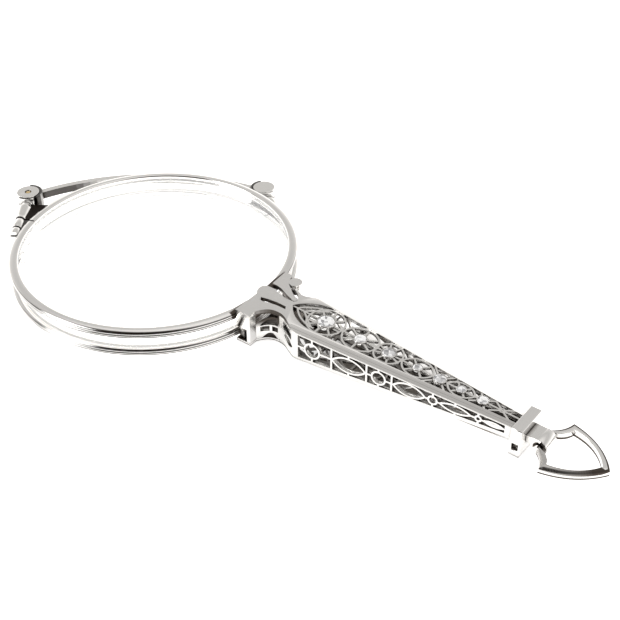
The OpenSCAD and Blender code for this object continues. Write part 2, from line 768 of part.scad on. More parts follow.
// Figures of the side panels under each stone: circles and pointed ovals in turn
panel_shift = 0.5;
panel_circle_r = [1.25, 0, 1.1, 0, 0.72, 0, 0.5];
panel_oval_a = [0, 2.65, 0, 2.4, 0, 2.35, 0];
panel_oval_b = [0, 1.25, 0, 1.1, 0, 0.7, 0];
post_shift = [0.7, 0.95, 0.2];
panel_leaf_a = 1.55;
panel_leaf_b = 0.42;
panel_leaf_x = panel_end - panel_leaf_a + 0.1;
module panel_wires() {
    w = wire_w;
    for (i = [0:stone_count - 1]) let (x = stone_x[i] + panel_shift,
        high = panel_circle_r[i] + panel_oval_b[i])
        translate([x, mid_z(x)]) {
            if (panel_circle_r[i] > 0) ring_plan(panel_circle_r[i], w);
            else vesica_wire(panel_oval_a[i], panel_oval_b[i], w);
            for (a = [90, 270]) rotate(a) translate([high - w / 2, -w / 2]) square([block_h, w]);
        }
    // Long leaf that runs out to the block
    translate([panel_leaf_x, mid_z(panel_leaf_x)]) vesica_wire(panel_leaf_a, panel_leaf_b, w);
    // Posts between the first figures
    for (i = [0:len(post_shift) - 1])
        translate([(stone_x[i] + stone_x[i + 1]) / 2 + post_shift[i] - w / 2, 0]) square([w, top_z]);
    // Rail that links the figures
    translate([0, mid_z(handle_len / 2) - w / 2]) difference() {
        square([handle_len, w]);
        for (i = [0:stone_count - 1]) let (half = panel_circle_r[i] + panel_oval_a[i] - w / 2)
            translate([stone_x[i] + panel_shift - half, -1]) square([2 * half, 2 + w]);
    }
}
module side_panel(side) {
    intersection() {
        between_plates();
        mirror([0, side > 0 ? 0 : 1, 0]) difference() {
            linear_extrude(10) panel_plan();
            translate([0, far, 0]) rotate([90, 0, 0]) linear_extrude(far) difference() {
                panel_window();
                panel_wires();
            }
            translate([0, far, 0]) rotate([90, 0, 0]) linear_extrude(far) shoulder_windows();
        }
    }
}

// Two windows in the curved wall before the shoulder
module shoulder_windows() {
    polygon([[3.3, 3.0], [5.6, 2.75], [5.6, 3.75], [3.3, 4.05]]);
    translate([4.7, 1.85]) rotate(-4) intersection() {
        translate([0, 0.9]) circle(1.5);
        translate([0, -0.9]) circle(1.5);
    }
}
module side_panel_near() { color(silver) side_panel(-1); }
module side_panel_far() { color(silver) side_panel(1); }

module end_block() {
    color(silver) difference() {
        translate([handle_len, -block_half, 0]) cube([block_l, 2 * block_half, block_h]);
        for (s = [-1, 1]) translate([handle_len + block_l / 2, s * block_half, 1.4])
            cube([0.85, 1.2, 1.0], center = true);
    }
}

// Curled lug on the end block, open below, that the bail's bar lies in
bail_x = handle_len + block_l + 1.75;
lug_in = bar_r + 0.22;
lug_out = lug_in + 0.42;
module bail_lug() {
    color(silver) {
        translate([bail_x, lug_half, bail_z]) rotate([90, 0, 0]) linear_extrude(2 * lug_half)
            difference() {
                circle(lug_out);
                circle(lug_in);
                polygon([[0, 0], [-4, -2.2], [-4, -4], [1.2, -4]]);
            }
        translate([handle_len + block_l, -lug_half, bail_z + 0.1]) difference() {
            cube([bail_x - handle_len - block_l, 2 * lug_half, lug_out - 0.15]);
            translate([bail_x - handle_len - block_l, -1, -0.1]) rotate([-90, 0, 0])
                cylinder(h = far, r = lug_in + 0.1);
        }
    }
}

// The bail is shield-shaped: two hollow arms, a shoulder on each side and a point
arm_start = [-0.5, lug_half + 0.25];
shoulder_at = [1.7, bail_half];
module bail_outer() {
    both_sides(concat(bowed(arm_start, shoulder_at, -0.45, 6),
        bowed(shoulder_at, [bail_len, 0], 0.85, 10)));
}
module bail_inner() {
    both_sides(concat(
        bowed(arm_start + [bail_w, 0.1], shoulder_at + [bail_w * 0.75, -bail_w * 1.35], -0.4, 6),
        bowed(shoulder_at + [bail_w * 0.75, -bail_w * 1.35], [bail_len - bail_w * 1.3, 0], 0.8, 10)));
}
module bail() {
    color(silver) translate([bail_x, 0, bail_z]) {
        rotate([90, 0, 0]) translate([0, 0, -lug_half - 0.6]) cylinder(h = 2 * lug_half + 1.2, r = bar_r);
        translate([0, 0, -bail_h / 2]) linear_extrude(bail_h) difference() {
            bail_outer();
            bail_inner();
            translate([-1, -lug_half - 0.1]) square([1 + lug_out + 0.12, 2 * lug_half + 0.2]);
        }
    }
}

// Far arm of the fork: a spring lever that carries the thumb button. A nose under
// it reaches down in front of the lower rim.
nose_z = low_z + 0.1;
module catch_lever() {
    color(silver) difference() {
        translate([0, 0, top_z - plate_t]) {
            linear_extrude(plate_t) lever_plan();
            translate([-1.35, 3.2, nose_z - top_z + plate_t])
                cube([0.4, 1.6, top_z - plate_t - nose_z]);
        }
        translate([lever_pin_at[0], lever_pin_at[1], 0])
            cylinder(h = lever_pin_top + 0.05, r = lever_pin_r + pin_clear);
    }
}
button_at = [0.1, 4.3];
module release_button() {
    color(silver) difference() {
        translate([button_at[0], button_at[1], top_z - button_h]) cylinder(h = button_h, r = button_r);
        translate([0, 0, top_z - plate_t]) linear_extrude(far) lever_plan();
    }
}

fixed_rim();
fixed_lens();
fixed_hinge_bracket();
fixed_screw_barrel();
fixed_rim_screw();
fixed_hinge_pin();
fixed_hinge_spring();
folding_rim();
folding_lens();
folding_hinge_bracket();
folding_screw_barrel();
folding_rim_screw();
folding_hinge_pin();
folding_hinge_spring();
catch_lug();
bridge();
handle_top_frame();
fork_block();
fork_gallery();
neck_post();
lever_pin();
fork_base();
handle_base();
side_panel_near();
side_panel_far();
top_filigree();
stone_collets();
stones();
end_block();
bail_lug();
bail();
catch_lever();
release_button();
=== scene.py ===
# %% Load the frame
import json
import math

import bmesh
import bpy
from mathutils import Matrix, Vector


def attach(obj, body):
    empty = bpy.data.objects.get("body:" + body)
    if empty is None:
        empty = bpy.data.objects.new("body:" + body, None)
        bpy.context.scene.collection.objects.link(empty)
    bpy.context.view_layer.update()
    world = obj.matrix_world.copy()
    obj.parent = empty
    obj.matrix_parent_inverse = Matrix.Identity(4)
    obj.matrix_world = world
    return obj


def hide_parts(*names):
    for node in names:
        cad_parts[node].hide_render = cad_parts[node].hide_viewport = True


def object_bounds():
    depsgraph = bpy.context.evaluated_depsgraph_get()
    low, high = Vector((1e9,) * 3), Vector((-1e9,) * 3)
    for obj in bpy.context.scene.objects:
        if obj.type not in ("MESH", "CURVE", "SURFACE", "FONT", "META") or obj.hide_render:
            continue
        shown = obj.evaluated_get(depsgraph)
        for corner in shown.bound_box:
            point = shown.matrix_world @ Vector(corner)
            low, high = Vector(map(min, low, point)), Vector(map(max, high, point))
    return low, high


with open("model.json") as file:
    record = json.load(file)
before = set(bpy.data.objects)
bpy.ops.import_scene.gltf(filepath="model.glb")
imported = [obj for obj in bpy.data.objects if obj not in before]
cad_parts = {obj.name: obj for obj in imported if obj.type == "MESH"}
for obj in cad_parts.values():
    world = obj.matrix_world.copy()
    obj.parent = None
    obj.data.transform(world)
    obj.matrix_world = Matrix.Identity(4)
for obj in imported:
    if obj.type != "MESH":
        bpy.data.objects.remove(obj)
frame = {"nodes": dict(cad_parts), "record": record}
cad_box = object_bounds()
MM = 0.001
print("CAD box in mm:", [round(v / MM, 2) for corner in cad_box for v in corner])

# %% [markdown]
# ## Helpers for nodes
# The finishes and some of the shapes come from nodes and not from pictures, so they stay
# sharp at any size. These helpers add a node with its settings, link nodes by the names
# of their sockets, and add one step of arithmetic. A node group is a small recipe with
# named inputs. It is built once and used wherever it is needed.

# %% Add and link nodes
def set_inputs(node, values):
    for socket, value in values.items():
        node.inputs[socket].default_value = value
    return node


def add_node(tree, kind, inputs=None, **settings):
    """Adds a node, with its settings first and then the values of its inputs."""
    node = tree.nodes.new(kind)
    for setting, value in settings.items():
        setattr(node, setting, value)
    return set_inputs(node, inputs or {})


def wire(tree, *joins):
    """Links nodes. A join is (from node, its output, to node, its input)."""
    for source, output, target, socket in joins:
        tree.links.new(source.outputs[output], target.inputs[socket])


def math_node(tree, operation, *values, clamp=False):
    """One step of arithmetic. A value is a number or the output of another node."""
    node = add_node(tree, "ShaderNodeMath", operation=operation, use_clamp=clamp)
    for socket, value in zip(node.inputs, values):
        if isinstance(value, (int, float)):
            socket.default_value = value
        else:
            tree.links.new(value, socket)
    return node.outputs[0]


print("node helpers ready")

# %% Groups, ramps and new materials
def new_tree(kind, name, inputs, outputs):
    """A node group. Inputs and outputs give each socket's name and what it holds."""
    tree = bpy.data.node_groups.new(name, kind)
    for way, sockets in (("INPUT", inputs), ("OUTPUT", outputs)):
        for socket, holds in sockets.items():
            tree.interface.new_socket(socket, in_out=way, socket_type="NodeSocket" + holds)
    return tree, tree.nodes.new("NodeGroupInput"), tree.nodes.new("NodeGroupOutput")


def fill_ramp(ramp, steps):
    elements = ramp.color_ramp.elements
    while len(elements) < len(steps):
        elements.new(0.5)
    for element, (place, colour) in zip(elements, steps):
        element.position = place
        element.color = colour


def new_material(name):
    material = bpy.data.materials.new(name)
    material.use_nodes = True
    return material, material.node_tree, material.node_tree.nodes["Principled BSDF"]


def fix_to_piece(tree, *nodes):
    """Ties textures to the piece, so that they move with it."""
    place = add_node(tree, "ShaderNodeTexCoord")
    for node in nodes:
        wire(tree, (place, "Object", node, "Vector"))


def place_on_piece(tree):
    """The outputs X, Y and Z of the place on the piece, in metres."""
    split = add_node(tree, "ShaderNodeSeparateXYZ")
    fix_to_piece(tree, split)
    return split.outputs


def new_object(name, data):
    thing = bpy.data.objects.new(name, data)
    bpy.context.scene.collection.objects.link(thing)
    return thing


print("group and material helpers ready")

# %% [markdown]
# ## The camera
# The photograph looks along the handle from above and from the near side. The camera
# is set by where it stands and by the point it looks at, both in millimetres, and its
# lens is worked out for a square picture. A real camera position gives the same
# narrowing of the rims and of the handle that the photograph shows.

# %% Camera
CAMERA_AT = Vector((77.32, -94.12, 95.36)) * MM
CAMERA_LOOKS_AT = Vector((5.10, 1.02, 4.60)) * MM
LENS, SENSOR = 65.06, 36
CLIP_START, CLIP_END = 0.005, 10


def aimed(name, data, at, target):
    """Puts a camera or a light at one point and turns it towards another."""
    thing = new_object(name, data)
    thing.location = at
    thing.rotation_mode = "QUATERNION"
    thing.rotation_quaternion = (target - at).normalized().to_track_quat("-Z", "Y")
    return thing


def make_camera():
    data = bpy.data.cameras.new("camera")
    data.lens = LENS
    data.sensor_width = SENSOR
    data.clip_start = CLIP_START
    data.clip_end = CLIP_END
    camera = aimed("camera", data, CAMERA_AT, CAMERA_LOOKS_AT)
    bpy.context.scene.camera = camera
    return camera


make_camera()
print("camera distance in mm:", round((CAMERA_AT - CAMERA_LOOKS_AT).length / MM, 1))

# %% [markdown]
# ## Light for polished metal
# Polished metal has no look of its own: it shows the room. In the photograph the flat
# tops are a soft grey, because they mirror a plain backdrop behind the object, and the
# upright faces are white, because they mirror the bright table. The thin dark lines
# along the edges are the unlit gap in the white tent that the picture was taken
# through. So the world is a plain gradient by height with one dark opening in it. It is
# read from the direction that a ray leaves in.

# %% World
SKY_STEPS = [(0.0, 1.0), (0.50, 1.35), (0.58, 1.25), (0.70, 0.74), (0.80, 0.58), (0.88, 0.64),
             (0.94, 0.84), (1.0, 0.95)]
WARM = (1.0, 0.98, 0.955)
OPENING_TOWARDS = Vector((0, -1, 1)).normalized()
OPENING_OUTER, OPENING_INNER = math.radians(58), math.radians(34)
OPENING_SHADE = (0.030, 0.024, 0.020, 1)


def make_world():
    world = bpy.data.worlds.new("studio")
    bpy.context.scene.world = world
    world.use_nodes = True
    tree = world.node_tree
    background = set_inputs(tree.nodes["Background"], {"Strength": 1.0})
    ray = add_node(tree, "ShaderNodeTexCoord")
    split = add_node(tree, "ShaderNodeSeparateXYZ")
    level = add_node(tree, "ShaderNodeMapRange", {"From Min": -1, "From Max": 1})
    sky = add_node(tree, "ShaderNodeValToRGB")
    fill_ramp(sky, [(place, [shade * w for w in WARM] + [1]) for place, shade in SKY_STEPS])
    towards = add_node(tree, "ShaderNodeVectorMath", {1: OPENING_TOWARDS}, operation="DOT_PRODUCT")
    opening = add_node(tree, "ShaderNodeMapRange", {
        "From Min": math.cos(OPENING_OUTER), "From Max": math.cos(OPENING_INNER)},
        interpolation_type="SMOOTHSTEP")
    shade = add_node(tree, "ShaderNodeMix", {"B": OPENING_SHADE}, data_type="RGBA")
    wire(tree, (ray, "Generated", split, "Vector"), (split, "Z", level, "Value"),
         (level, "Result", sky, "Fac"), (sky, "Color", shade, "A"),
         (ray, "Generated", towards, 0), (towards, "Value", opening, "Value"),
         (opening, "Result", shade, "Factor"), (shade, "Result", background, "Color"))
    return world


print("world:", make_world().name, "with", len(SKY_STEPS), "steps of grey")

# %% [markdown]
# ## The window
# One large soft light stands to the left and to the front, as a window or a soft box
# would. It gives the paper its white and the metal one brighter patch.

# %% Soft light and view
WINDOW_AT, WINDOW_TOWARDS = Vector((-0.24, -0.29, 0.30)), Vector((0.005, 0, 0))
WINDOW_SIZE, WINDOW_WATTS = 0.24, 0.9


def soft_light():
    data = bpy.data.lights.new("window", "AREA")
    data.shape = "SQUARE"
    data.size = WINDOW_SIZE
    data.energy = WINDOW_WATTS
    return aimed("window", data, WINDOW_AT, WINDOW_TOWARDS)


view = bpy.context.scene.view_settings
view.view_transform = "Standard"
view.look = "None"
print("light:", soft_light().name)

# %% [markdown]
# ## The floor
# The object lies on white paper that is lit past white, so the floor shows no edge. A large plane does
# this. A little of its light comes from the paper itself, which keeps the shadows as faint as the
# photograph has them. Under the handle a shadow is painted on the paper: it loses that glow and turns
# brown, which is what the eye meets through the pierced base. The painted shadow fades out over a few
# millimetres on the side away from the window. Its mask is worked out from the place on the paper.

# %% Painted shadow under the handle
HANDLE_LEN = 37.6
HANDLE_FROM, HANDLE_TO = 6.8 * MM, HANDLE_LEN * MM
HANDLE_HALF, HANDLE_TAPER = 3.2 * MM, 0.075
SHADE_REACH, END_FADE = 5.5 * MM, 4.0 * MM


# The mask of the shadow painted on the paper under the handle.
def painted_shadow_under_handle(tree, x, y):
    edge = math_node(tree, "MULTIPLY_ADD", x, -HANDLE_TAPER, HANDLE_HALF)
    near_side = math_node(tree, "GREATER_THAN", y, math_node(tree, "MULTIPLY", edge, -1.0))
    beyond = math_node(tree, "SUBTRACT", y, edge)
    fading = math_node(tree, "MULTIPLY_ADD", beyond, -1 / SHADE_REACH, 1.0, clamp=True)
    to_nearer_end = math_node(tree, "MINIMUM", math_node(tree, "SUBTRACT", x, HANDLE_FROM),
                              math_node(tree, "SUBTRACT", HANDLE_TO, x))
    along = math_node(tree, "MULTIPLY", to_nearer_end, 1 / END_FADE, clamp=True)
    return math_node(tree, "MULTIPLY", math_node(tree, "MULTIPLY", near_side, along), fading)


print("shade from", round(HANDLE_FROM / MM, 1), "to", round(HANDLE_TO / MM, 1), "mm")

# %% White floor
FLOOR_SIZE, FLOOR_DROP = 3.0, 0.02 * MM
PAPER_WHITE, PAPER_SHADOW_BROWN = (0.93, 0.925, 0.92, 1), (0.40, 0.35, 0.30, 1)
PAPER_ROUGHNESS, GLOW_COLOUR = 0.9, (1, 0.995, 0.985, 1)
PAPER_GLOW, GLOW_LOST = 0.8, 0.97


def paper():
    material, tree, shader = new_material("paper")
    set_inputs(shader, {"Roughness": PAPER_ROUGHNESS, "Specular IOR Level": 0.0,
                        "Emission Color": GLOW_COLOUR})
    place = place_on_piece(tree)
    # Painted shadow: under the handle the paper turns brown and loses its glow.
    under = painted_shadow_under_handle(tree, place["X"], place["Y"])
    lost = math_node(tree, "MULTIPLY", under, PAPER_GLOW * GLOW_LOST)
    shaded = add_node(tree, "ShaderNodeMix", {"A": PAPER_WHITE, "B": PAPER_SHADOW_BROWN}, data_type="RGBA")
    tree.links.new(under, shaded.inputs["Factor"])
    tree.links.new(math_node(tree, "SUBTRACT", PAPER_GLOW, lost), shader.inputs["Emission Strength"])
    wire(tree, (shaded, "Result", shader, "Base Color"))
    return material


def make_floor():
    mesh = bpy.data.meshes.new("floor")
    half = FLOOR_SIZE / 2
    corners = [(-half, -half, 0), (half, -half, 0), (half, half, 0), (-half, half, 0)]
    mesh.from_pydata(corners, [], [(0, 1, 2, 3)])
    mesh.materials.append(paper())
    floor = new_object("floor", mesh)
    floor.location.z = cad_box[0].z - FLOOR_DROP
    return floor


print("floor at mm:", round(make_floor().location.z / MM, 3))

# %% [markdown]
# ## Tarnish and painted shade in the hollows, and polish on the edges
# Old white metal is bright where fingers rub it and brown-black in the corners that no cloth reaches.
# Ambient Occlusion measures how closed in a point is, so it gives the mask, and the mask darkens the
# colour in the hollows: patina, together with painted shade where shade falls. A noise breaks the mask
# up, as real patina is never even. Two things are added to it: marks painted on single faces, in a
# face attribute, which are mostly painted shade, and Extra, which a material can work out from the
# place. The rims have a group of their own that looks at their own shape only, because the lens would
# darken them all round.

# %% Group: Tarnish and painted shade in hollows
HOLLOW_SAMPLES = 8
PATCH_SCALE, PATCH_DETAIL = 1500, 3
UNEVEN_SPREAD, UNEVEN_LEAST = 0.8, 0.6


def tarnish_and_shade_group(name, own_shape_only):
    group, given, result = new_tree("ShaderNodeTree", name, {
        "Clean Color": "Color", "Tarnish And Shade Color": "Color", "Reach": "Float", "Amount": "Float",
        "Open": "Float", "Closed": "Float", "Extra": "Float"}, {"Color": "Color", "Mask": "Float"})
    # Occlusion darkens the colour in the hollows: patina together with painted shade.
    hollow = add_node(group, "ShaderNodeAmbientOcclusion", samples=HOLLOW_SAMPLES,
                      only_local=own_shape_only)
    marks = add_node(group, "ShaderNodeAttribute", attribute_name="dirt_and_painted_shade")
    patches = add_node(group, "ShaderNodeTexNoise", {"Scale": PATCH_SCALE, "Detail": PATCH_DETAIL})
    fix_to_piece(group, patches)
    closed = add_node(group, "ShaderNodeMapRange", interpolation_type="SMOOTHSTEP")
    uneven = math_node(group, "MULTIPLY_ADD", patches.outputs["Fac"], UNEVEN_SPREAD, UNEVEN_LEAST)
    dirt = math_node(group, "MULTIPLY", closed.outputs["Result"], uneven)
    added = math_node(group, "ADD", marks.outputs["Fac"], given.outputs["Extra"])
    packed = math_node(group, "ADD", dirt, added)
    mask = math_node(group, "MULTIPLY", packed, given.outputs["Amount"], clamp=True)
    mix = add_node(group, "ShaderNodeMix", data_type="RGBA")
    group.links.new(mask, mix.inputs["Factor"])
    group.links.new(mask, result.inputs["Mask"])
    wire(group, (given, "Reach", hollow, "Distance"), (hollow, "AO", closed, "Value"),
         (given, "Open", closed, "From Min"), (given, "Closed", closed, "From Max"),
         (given, "Clean Color", mix, "A"), (given, "Tarnish And Shade Color", mix, "B"),
         (mix, "Result", result, "Color"))
    return group


TARNISH_AND_SHADE = tarnish_and_shade_group("hollow_tarnish_and_shade", False)
RIM_TARNISH_AND_SHADE = tarnish_and_shade_group("rim_tarnish_and_shade", True)
print("made groups", TARNISH_AND_SHADE.name, RIM_TARNISH_AND_SHADE.name)

# %% [markdown]
# ## Hand polish
# A polishing cloth leaves hair-fine scratches and slow waves, and both soften the
# mirrored room. One noise, stretched along the handle, gives the scratches and the
# roughness, and a coarser one gives the waves.

# %% Group: hand polish
SCRATCH_SCALE, SCRATCH_STRETCH, SCRATCH_SHARE = 4000, (0.12, 1.0, 1.0), 0.12
SCRATCH_LOW, SCRATCH_HIGH = 0.3, 0.75
WAVE_SCALE, WAVE_DETAIL = 350, 2


def polish_group():
    group, given, result = new_tree("ShaderNodeTree", "hand_polish", {
        "Wave Share": "Float", "Smooth": "Float", "Rough": "Float"}, {
        "Height": "Float", "Roughness": "Float"})
    stretch = add_node(group, "ShaderNodeMapping", {"Scale": SCRATCH_STRETCH})
    scratches = add_node(group, "ShaderNodeTexNoise", {"Scale": SCRATCH_SCALE})
    waves = add_node(group, "ShaderNodeTexNoise", {"Scale": WAVE_SCALE, "Detail": WAVE_DETAIL})
    fix_to_piece(group, stretch, waves)
    spread = add_node(group, "ShaderNodeMapRange", {"From Min": SCRATCH_LOW, "From Max": SCRATCH_HIGH})
    slow = math_node(group, "MULTIPLY", waves.outputs["Fac"], given.outputs["Wave Share"])
    fine = math_node(group, "MULTIPLY", scratches.outputs["Fac"], SCRATCH_SHARE)
    group.links.new(math_node(group, "ADD", slow, fine), result.inputs["Height"])
    wire(group, (stretch, "Vector", scratches, "Vector"), (scratches, "Fac", spread, "Value"),
         (given, "Smooth", spread, "To Min"), (given, "Rough", spread, "To Max"),
         (spread, "Result", result, "Roughness"))
    return group


POLISH = polish_group()
print("made group", POLISH.name)

# %% [markdown]
# ## The metals
# White precious metal, brass and drawn spring steel are the same recipe with other values. The
# Principled shader stays in the material. The groups feed its Base Color, its Roughness and, through
# Bump, its Normal. The hinges are darker in their hollows than the rest: painted shade, together with
# the patina of parts that no one takes apart to clean.

# %% Metal materials
BUMP_STRENGTH, TARNISH_ROUGHNESS = 0.6, 0.35


def metal(name, clean, tarnish_and_shade, roughness, reach=0.6, amount=0.95, hollows=(0.85, 0.35),
          wave=0.5, bump=0.010, recipe=TARNISH_AND_SHADE):
    """A metal finish. Reach and bump are in mm. Tarnish and painted shade go from none to full between
    the two hollows, which are shares of open sky round the point."""
    material, tree, shader = new_material(name)
    set_inputs(shader, {"Metallic": 1.0})
    dirt = add_node(tree, "ShaderNodeGroup", {
        "Clean Color": (*clean, 1), "Tarnish And Shade Color": (*tarnish_and_shade, 1), "Reach": reach * MM,
        "Amount": amount, "Open": hollows[0], "Closed": hollows[1]}, node_tree=recipe, name="dirt")
    polish = add_node(tree, "ShaderNodeGroup", {
        "Smooth": roughness[0], "Rough": roughness[1], "Wave Share": wave}, node_tree=POLISH)
    surface = add_node(tree, "ShaderNodeBump", {"Strength": BUMP_STRENGTH, "Distance": bump * MM})
    duller = math_node(tree, "MULTIPLY_ADD", dirt.outputs["Mask"], TARNISH_ROUGHNESS,
                       polish.outputs["Roughness"])
    tree.links.new(duller, shader.inputs["Roughness"])
    wire(tree, (dirt, "Color", shader, "Base Color"), (polish, "Height", surface, "Height"),
         (surface, "Normal", shader, "Normal"))
    return material


POLISHED = metal("polished_white_metal", clean=(0.88, 0.87, 0.855), tarnish_and_shade=(0.045, 0.030, 0.020),
                 roughness=(0.07, 0.18), reach=1.0, hollows=(0.80, 0.40))
PIERCED = metal("pierced_white_metal", clean=(0.86, 0.85, 0.83), tarnish_and_shade=(0.040, 0.028, 0.019),
                roughness=(0.12, 0.28), reach=1.4, hollows=(0.82, 0.42))
RIM_METAL = metal("drawn_rim_wire", clean=(0.90, 0.89, 0.875), tarnish_and_shade=(0.05, 0.034, 0.023),
                  roughness=(0.06, 0.16), reach=0.35, hollows=(0.62, 0.25), wave=0.12, bump=0.004,
                  recipe=RIM_TARNISH_AND_SHADE)
# Inside pieces get a dark brown colour: painted shade for their place within the handle, on rough
# unpolished metal.
SHADED_INSIDE = metal("unpolished_inside_painted_shade", clean=(0.50, 0.46, 0.42), tarnish_and_shade=(0.030, 0.021, 0.014),
               roughness=(0.25, 0.45), reach=2.5, hollows=(0.9, 0.5))
# The hinge metal's near-black dark colour paints shade into its hollows, with patina.
HINGE_METAL = metal("hinge_metal", clean=(0.87, 0.86, 0.84), tarnish_and_shade=(0.014, 0.009, 0.006),
                    roughness=(0.08, 0.2), reach=1.2, amount=1.0, hollows=(0.84, 0.42))
BRASS = metal("brass_pin", clean=(0.78, 0.60, 0.33), tarnish_and_shade=(0.12, 0.07, 0.03), roughness=(0.2, 0.4))
SPRING = metal("spring_wire", clean=(0.50, 0.49, 0.47), tarnish_and_shade=(0.08, 0.06, 0.05),
               roughness=(0.25, 0.4))
print("metals:", POLISHED.name, PIERCED.name, RIM_METAL.name, HINGE_METAL.name, BRASS.name)

# %% [markdown]
# ## Lines along the frame
# The sloping edge of the top frame carries three fine cut lines that run with the edge.
# They are straight in the plan, so the distance from the middle line plus a share of the
# length is the same all along a line. The shader turns that sum into narrow grooves.

# %% Cut lines
SHOULDER_X, SHOULDER_HALF, END_HALF = 6.6, 4.0, 1.5
FRAME_TAPER = (SHOULDER_HALF - END_HALF) / (HANDLE_LEN - SHOULDER_X)
FRAME_EDGE = (SHOULDER_HALF + SHOULDER_X * FRAME_TAPER) * MM
LINE_GAP, LINE_WIDTH, LINE_SHADE = 0.4 * MM, 0.045 * MM, 0.36
LINES_FROM, LINES_BAND = 5.2 * MM, 1.15 * MM


def cut_lines(material):
    tree = material.node_tree
    place = place_on_piece(tree)
    out = math_node(tree, "ABSOLUTE", place["Y"])
    along = math_node(tree, "MULTIPLY", place["X"], FRAME_TAPER)
    inward = math_node(tree, "SUBTRACT", FRAME_EDGE, math_node(tree, "ADD", out, along))
    wave = math_node(tree, "PINGPONG", inward, LINE_GAP / 2)
    groove = add_node(tree, "ShaderNodeMapRange", {
        "From Min": 0.0, "From Max": LINE_WIDTH, "To Min": LINE_SHADE, "To Max": 0.0})
    tree.links.new(wave, groove.inputs["Value"])
    on_frame = math_node(tree, "MULTIPLY", math_node(tree, "GREATER_THAN", place["X"], LINES_FROM),
                         math_node(tree, "LESS_THAN", inward, LINES_BAND))
    lines = math_node(tree, "MULTIPLY", groove.outputs["Result"], on_frame)
    tree.links.new(lines, tree.nodes["dirt"].inputs["Extra"])
    return material


FRAME_METAL = cut_lines(metal(
    "cut_frame_metal", clean=(0.88, 0.87, 0.855), tarnish_and_shade=(0.050, 0.038, 0.028),
    roughness=(0.08, 0.2), reach=1.0, hollows=(0.80, 0.40)))
print("made", FRAME_METAL.name, "with lines every", round(LINE_GAP / MM, 2), "mm")

# %% [markdown]
# ## Painted shade beside the fork and inside the gallery
# On the upper rim a painted shadow line lies where the fork crosses it. The small gallery is open
# below and closed above, so its upper half gets painted shade. Each is a band of painted shade that
# sets in between two places along one axis. The lower rim leaves the fork when it opens, so it keeps
# the plain wire finish.

# %% Bands of shade
FORK_X = -2.5
FORK_BAND, GALLERY_BAND = (FORK_X - 0.80, FORK_X - 0.50), (2.1, 3.3)
FORK_SIDES = 6.0 * MM


def shade_band(material, name, axis, low, high):
    """A copy of a metal in which painted shade sets in between two places in mm, near the fork."""
    shaded = material.copy()
    shaded.name = name
    tree = shaded.node_tree
    place = place_on_piece(tree)
    band = add_node(tree, "ShaderNodeMapRange", {"From Min": low * MM, "From Max": high * MM},
                    interpolation_type="SMOOTHSTEP")
    tree.links.new(place[axis], band.inputs["Value"])
    beside = math_node(tree, "LESS_THAN", math_node(tree, "ABSOLUTE", place["Y"]), FORK_SIDES)
    dark = math_node(tree, "MULTIPLY", band.outputs["Result"], beside)
    tree.links.new(dark, tree.nodes["dirt"].inputs["Extra"])
    return shaded


# Shaded copies: painted shade on the gallery's top half, and a painted shadow line on the upper rim.
SHADED_GALLERY_METAL = shade_band(PIERCED, "gallery_metal", "Z", *GALLERY_BAND)
FIXED_RIM_SHADED_METAL = shade_band(RIM_METAL, "drawn_rim_wire_in_fork", "X", *FORK_BAND)
print("made", SHADED_GALLERY_METAL.name, FIXED_RIM_SHADED_METAL.name)

# %% [markdown]
# ## Glass
# A spectacle lens is seen mostly by its reflections. It is glass with a low alpha, so that light falls
# through it to the floor as it does in the photograph, and the faint noise in its roughness is the
# dust of years. The more slanted a lens is seen, the more of the white room it would mirror, so a
# painted reflection is laid on: a faint white veil, glowing through Emission, that hides part of what
# lies behind it. Layer Weight gives the slant, and the veil is laid on for the camera alone, so that
# it neither lights the metal nor darkens the paper.

# %% Clear glass
DUST_SCALE, DUST_DETAIL = 600, 4
DUST_LOW, DUST_HIGH = 0.45, 0.8
SLANT_BLEND, SHEEN = 0.5, 0.14


def clear_glass(name, tint, index, alpha, rough):
    material, tree, shader = new_material(name)
    set_inputs(shader, {"Base Color": (*tint, 1), "IOR": index, "Transmission Weight": 1.0,
                        "Alpha": alpha})
    dust = add_node(tree, "ShaderNodeTexNoise", {"Scale": DUST_SCALE, "Detail": DUST_DETAIL})
    fix_to_piece(tree, dust)
    spread = add_node(tree, "ShaderNodeMapRange", {
        "From Min": DUST_LOW, "From Max": DUST_HIGH, "To Min": 0.0, "To Max": rough})
    wire(tree, (dust, "Fac", spread, "Value"), (spread, "Result", shader, "Roughness"))
    return material


def painted_white_sheen(material):
    tree = material.node_tree
    shader = tree.nodes["Principled BSDF"]
    slant = add_node(tree, "ShaderNodeLayerWeight", {"Blend": SLANT_BLEND})
    seen = add_node(tree, "ShaderNodeLightPath")
    painted_reflection = math_node(tree, "MULTIPLY", slant.outputs["Facing"], SHEEN)
    shows = math_node(tree, "MULTIPLY", painted_reflection, seen.outputs["Is Camera Ray"])
    veil = math_node(tree, "ADD", shows, shader.inputs["Alpha"].default_value)
    tree.links.new(veil, shader.inputs["Alpha"])
    # The veil glows white through Emission: a painted reflection of the white room.
    set_inputs(shader, {"Emission Color": (1, 1, 1, 1), "Emission Strength": 1.0})
    return material


LENS_GLASS = painted_white_sheen(clear_glass("lens_glass", tint=(0.99, 0.995, 0.99), index=1.52,
                                     alpha=0.06, rough=0.05))
print("made", LENS_GLASS.name)

# %% [markdown]
# ## Stones
# The stones are clear and bend light strongly, and their back facets send it out again in light and
# dark patches. Facets of half a millimetre are too small for the picture to work this out from the
# shape alone, so the patches are painted: a Voronoi pattern paints light and dark glints into the
# colour, and they glow a little through Emission.

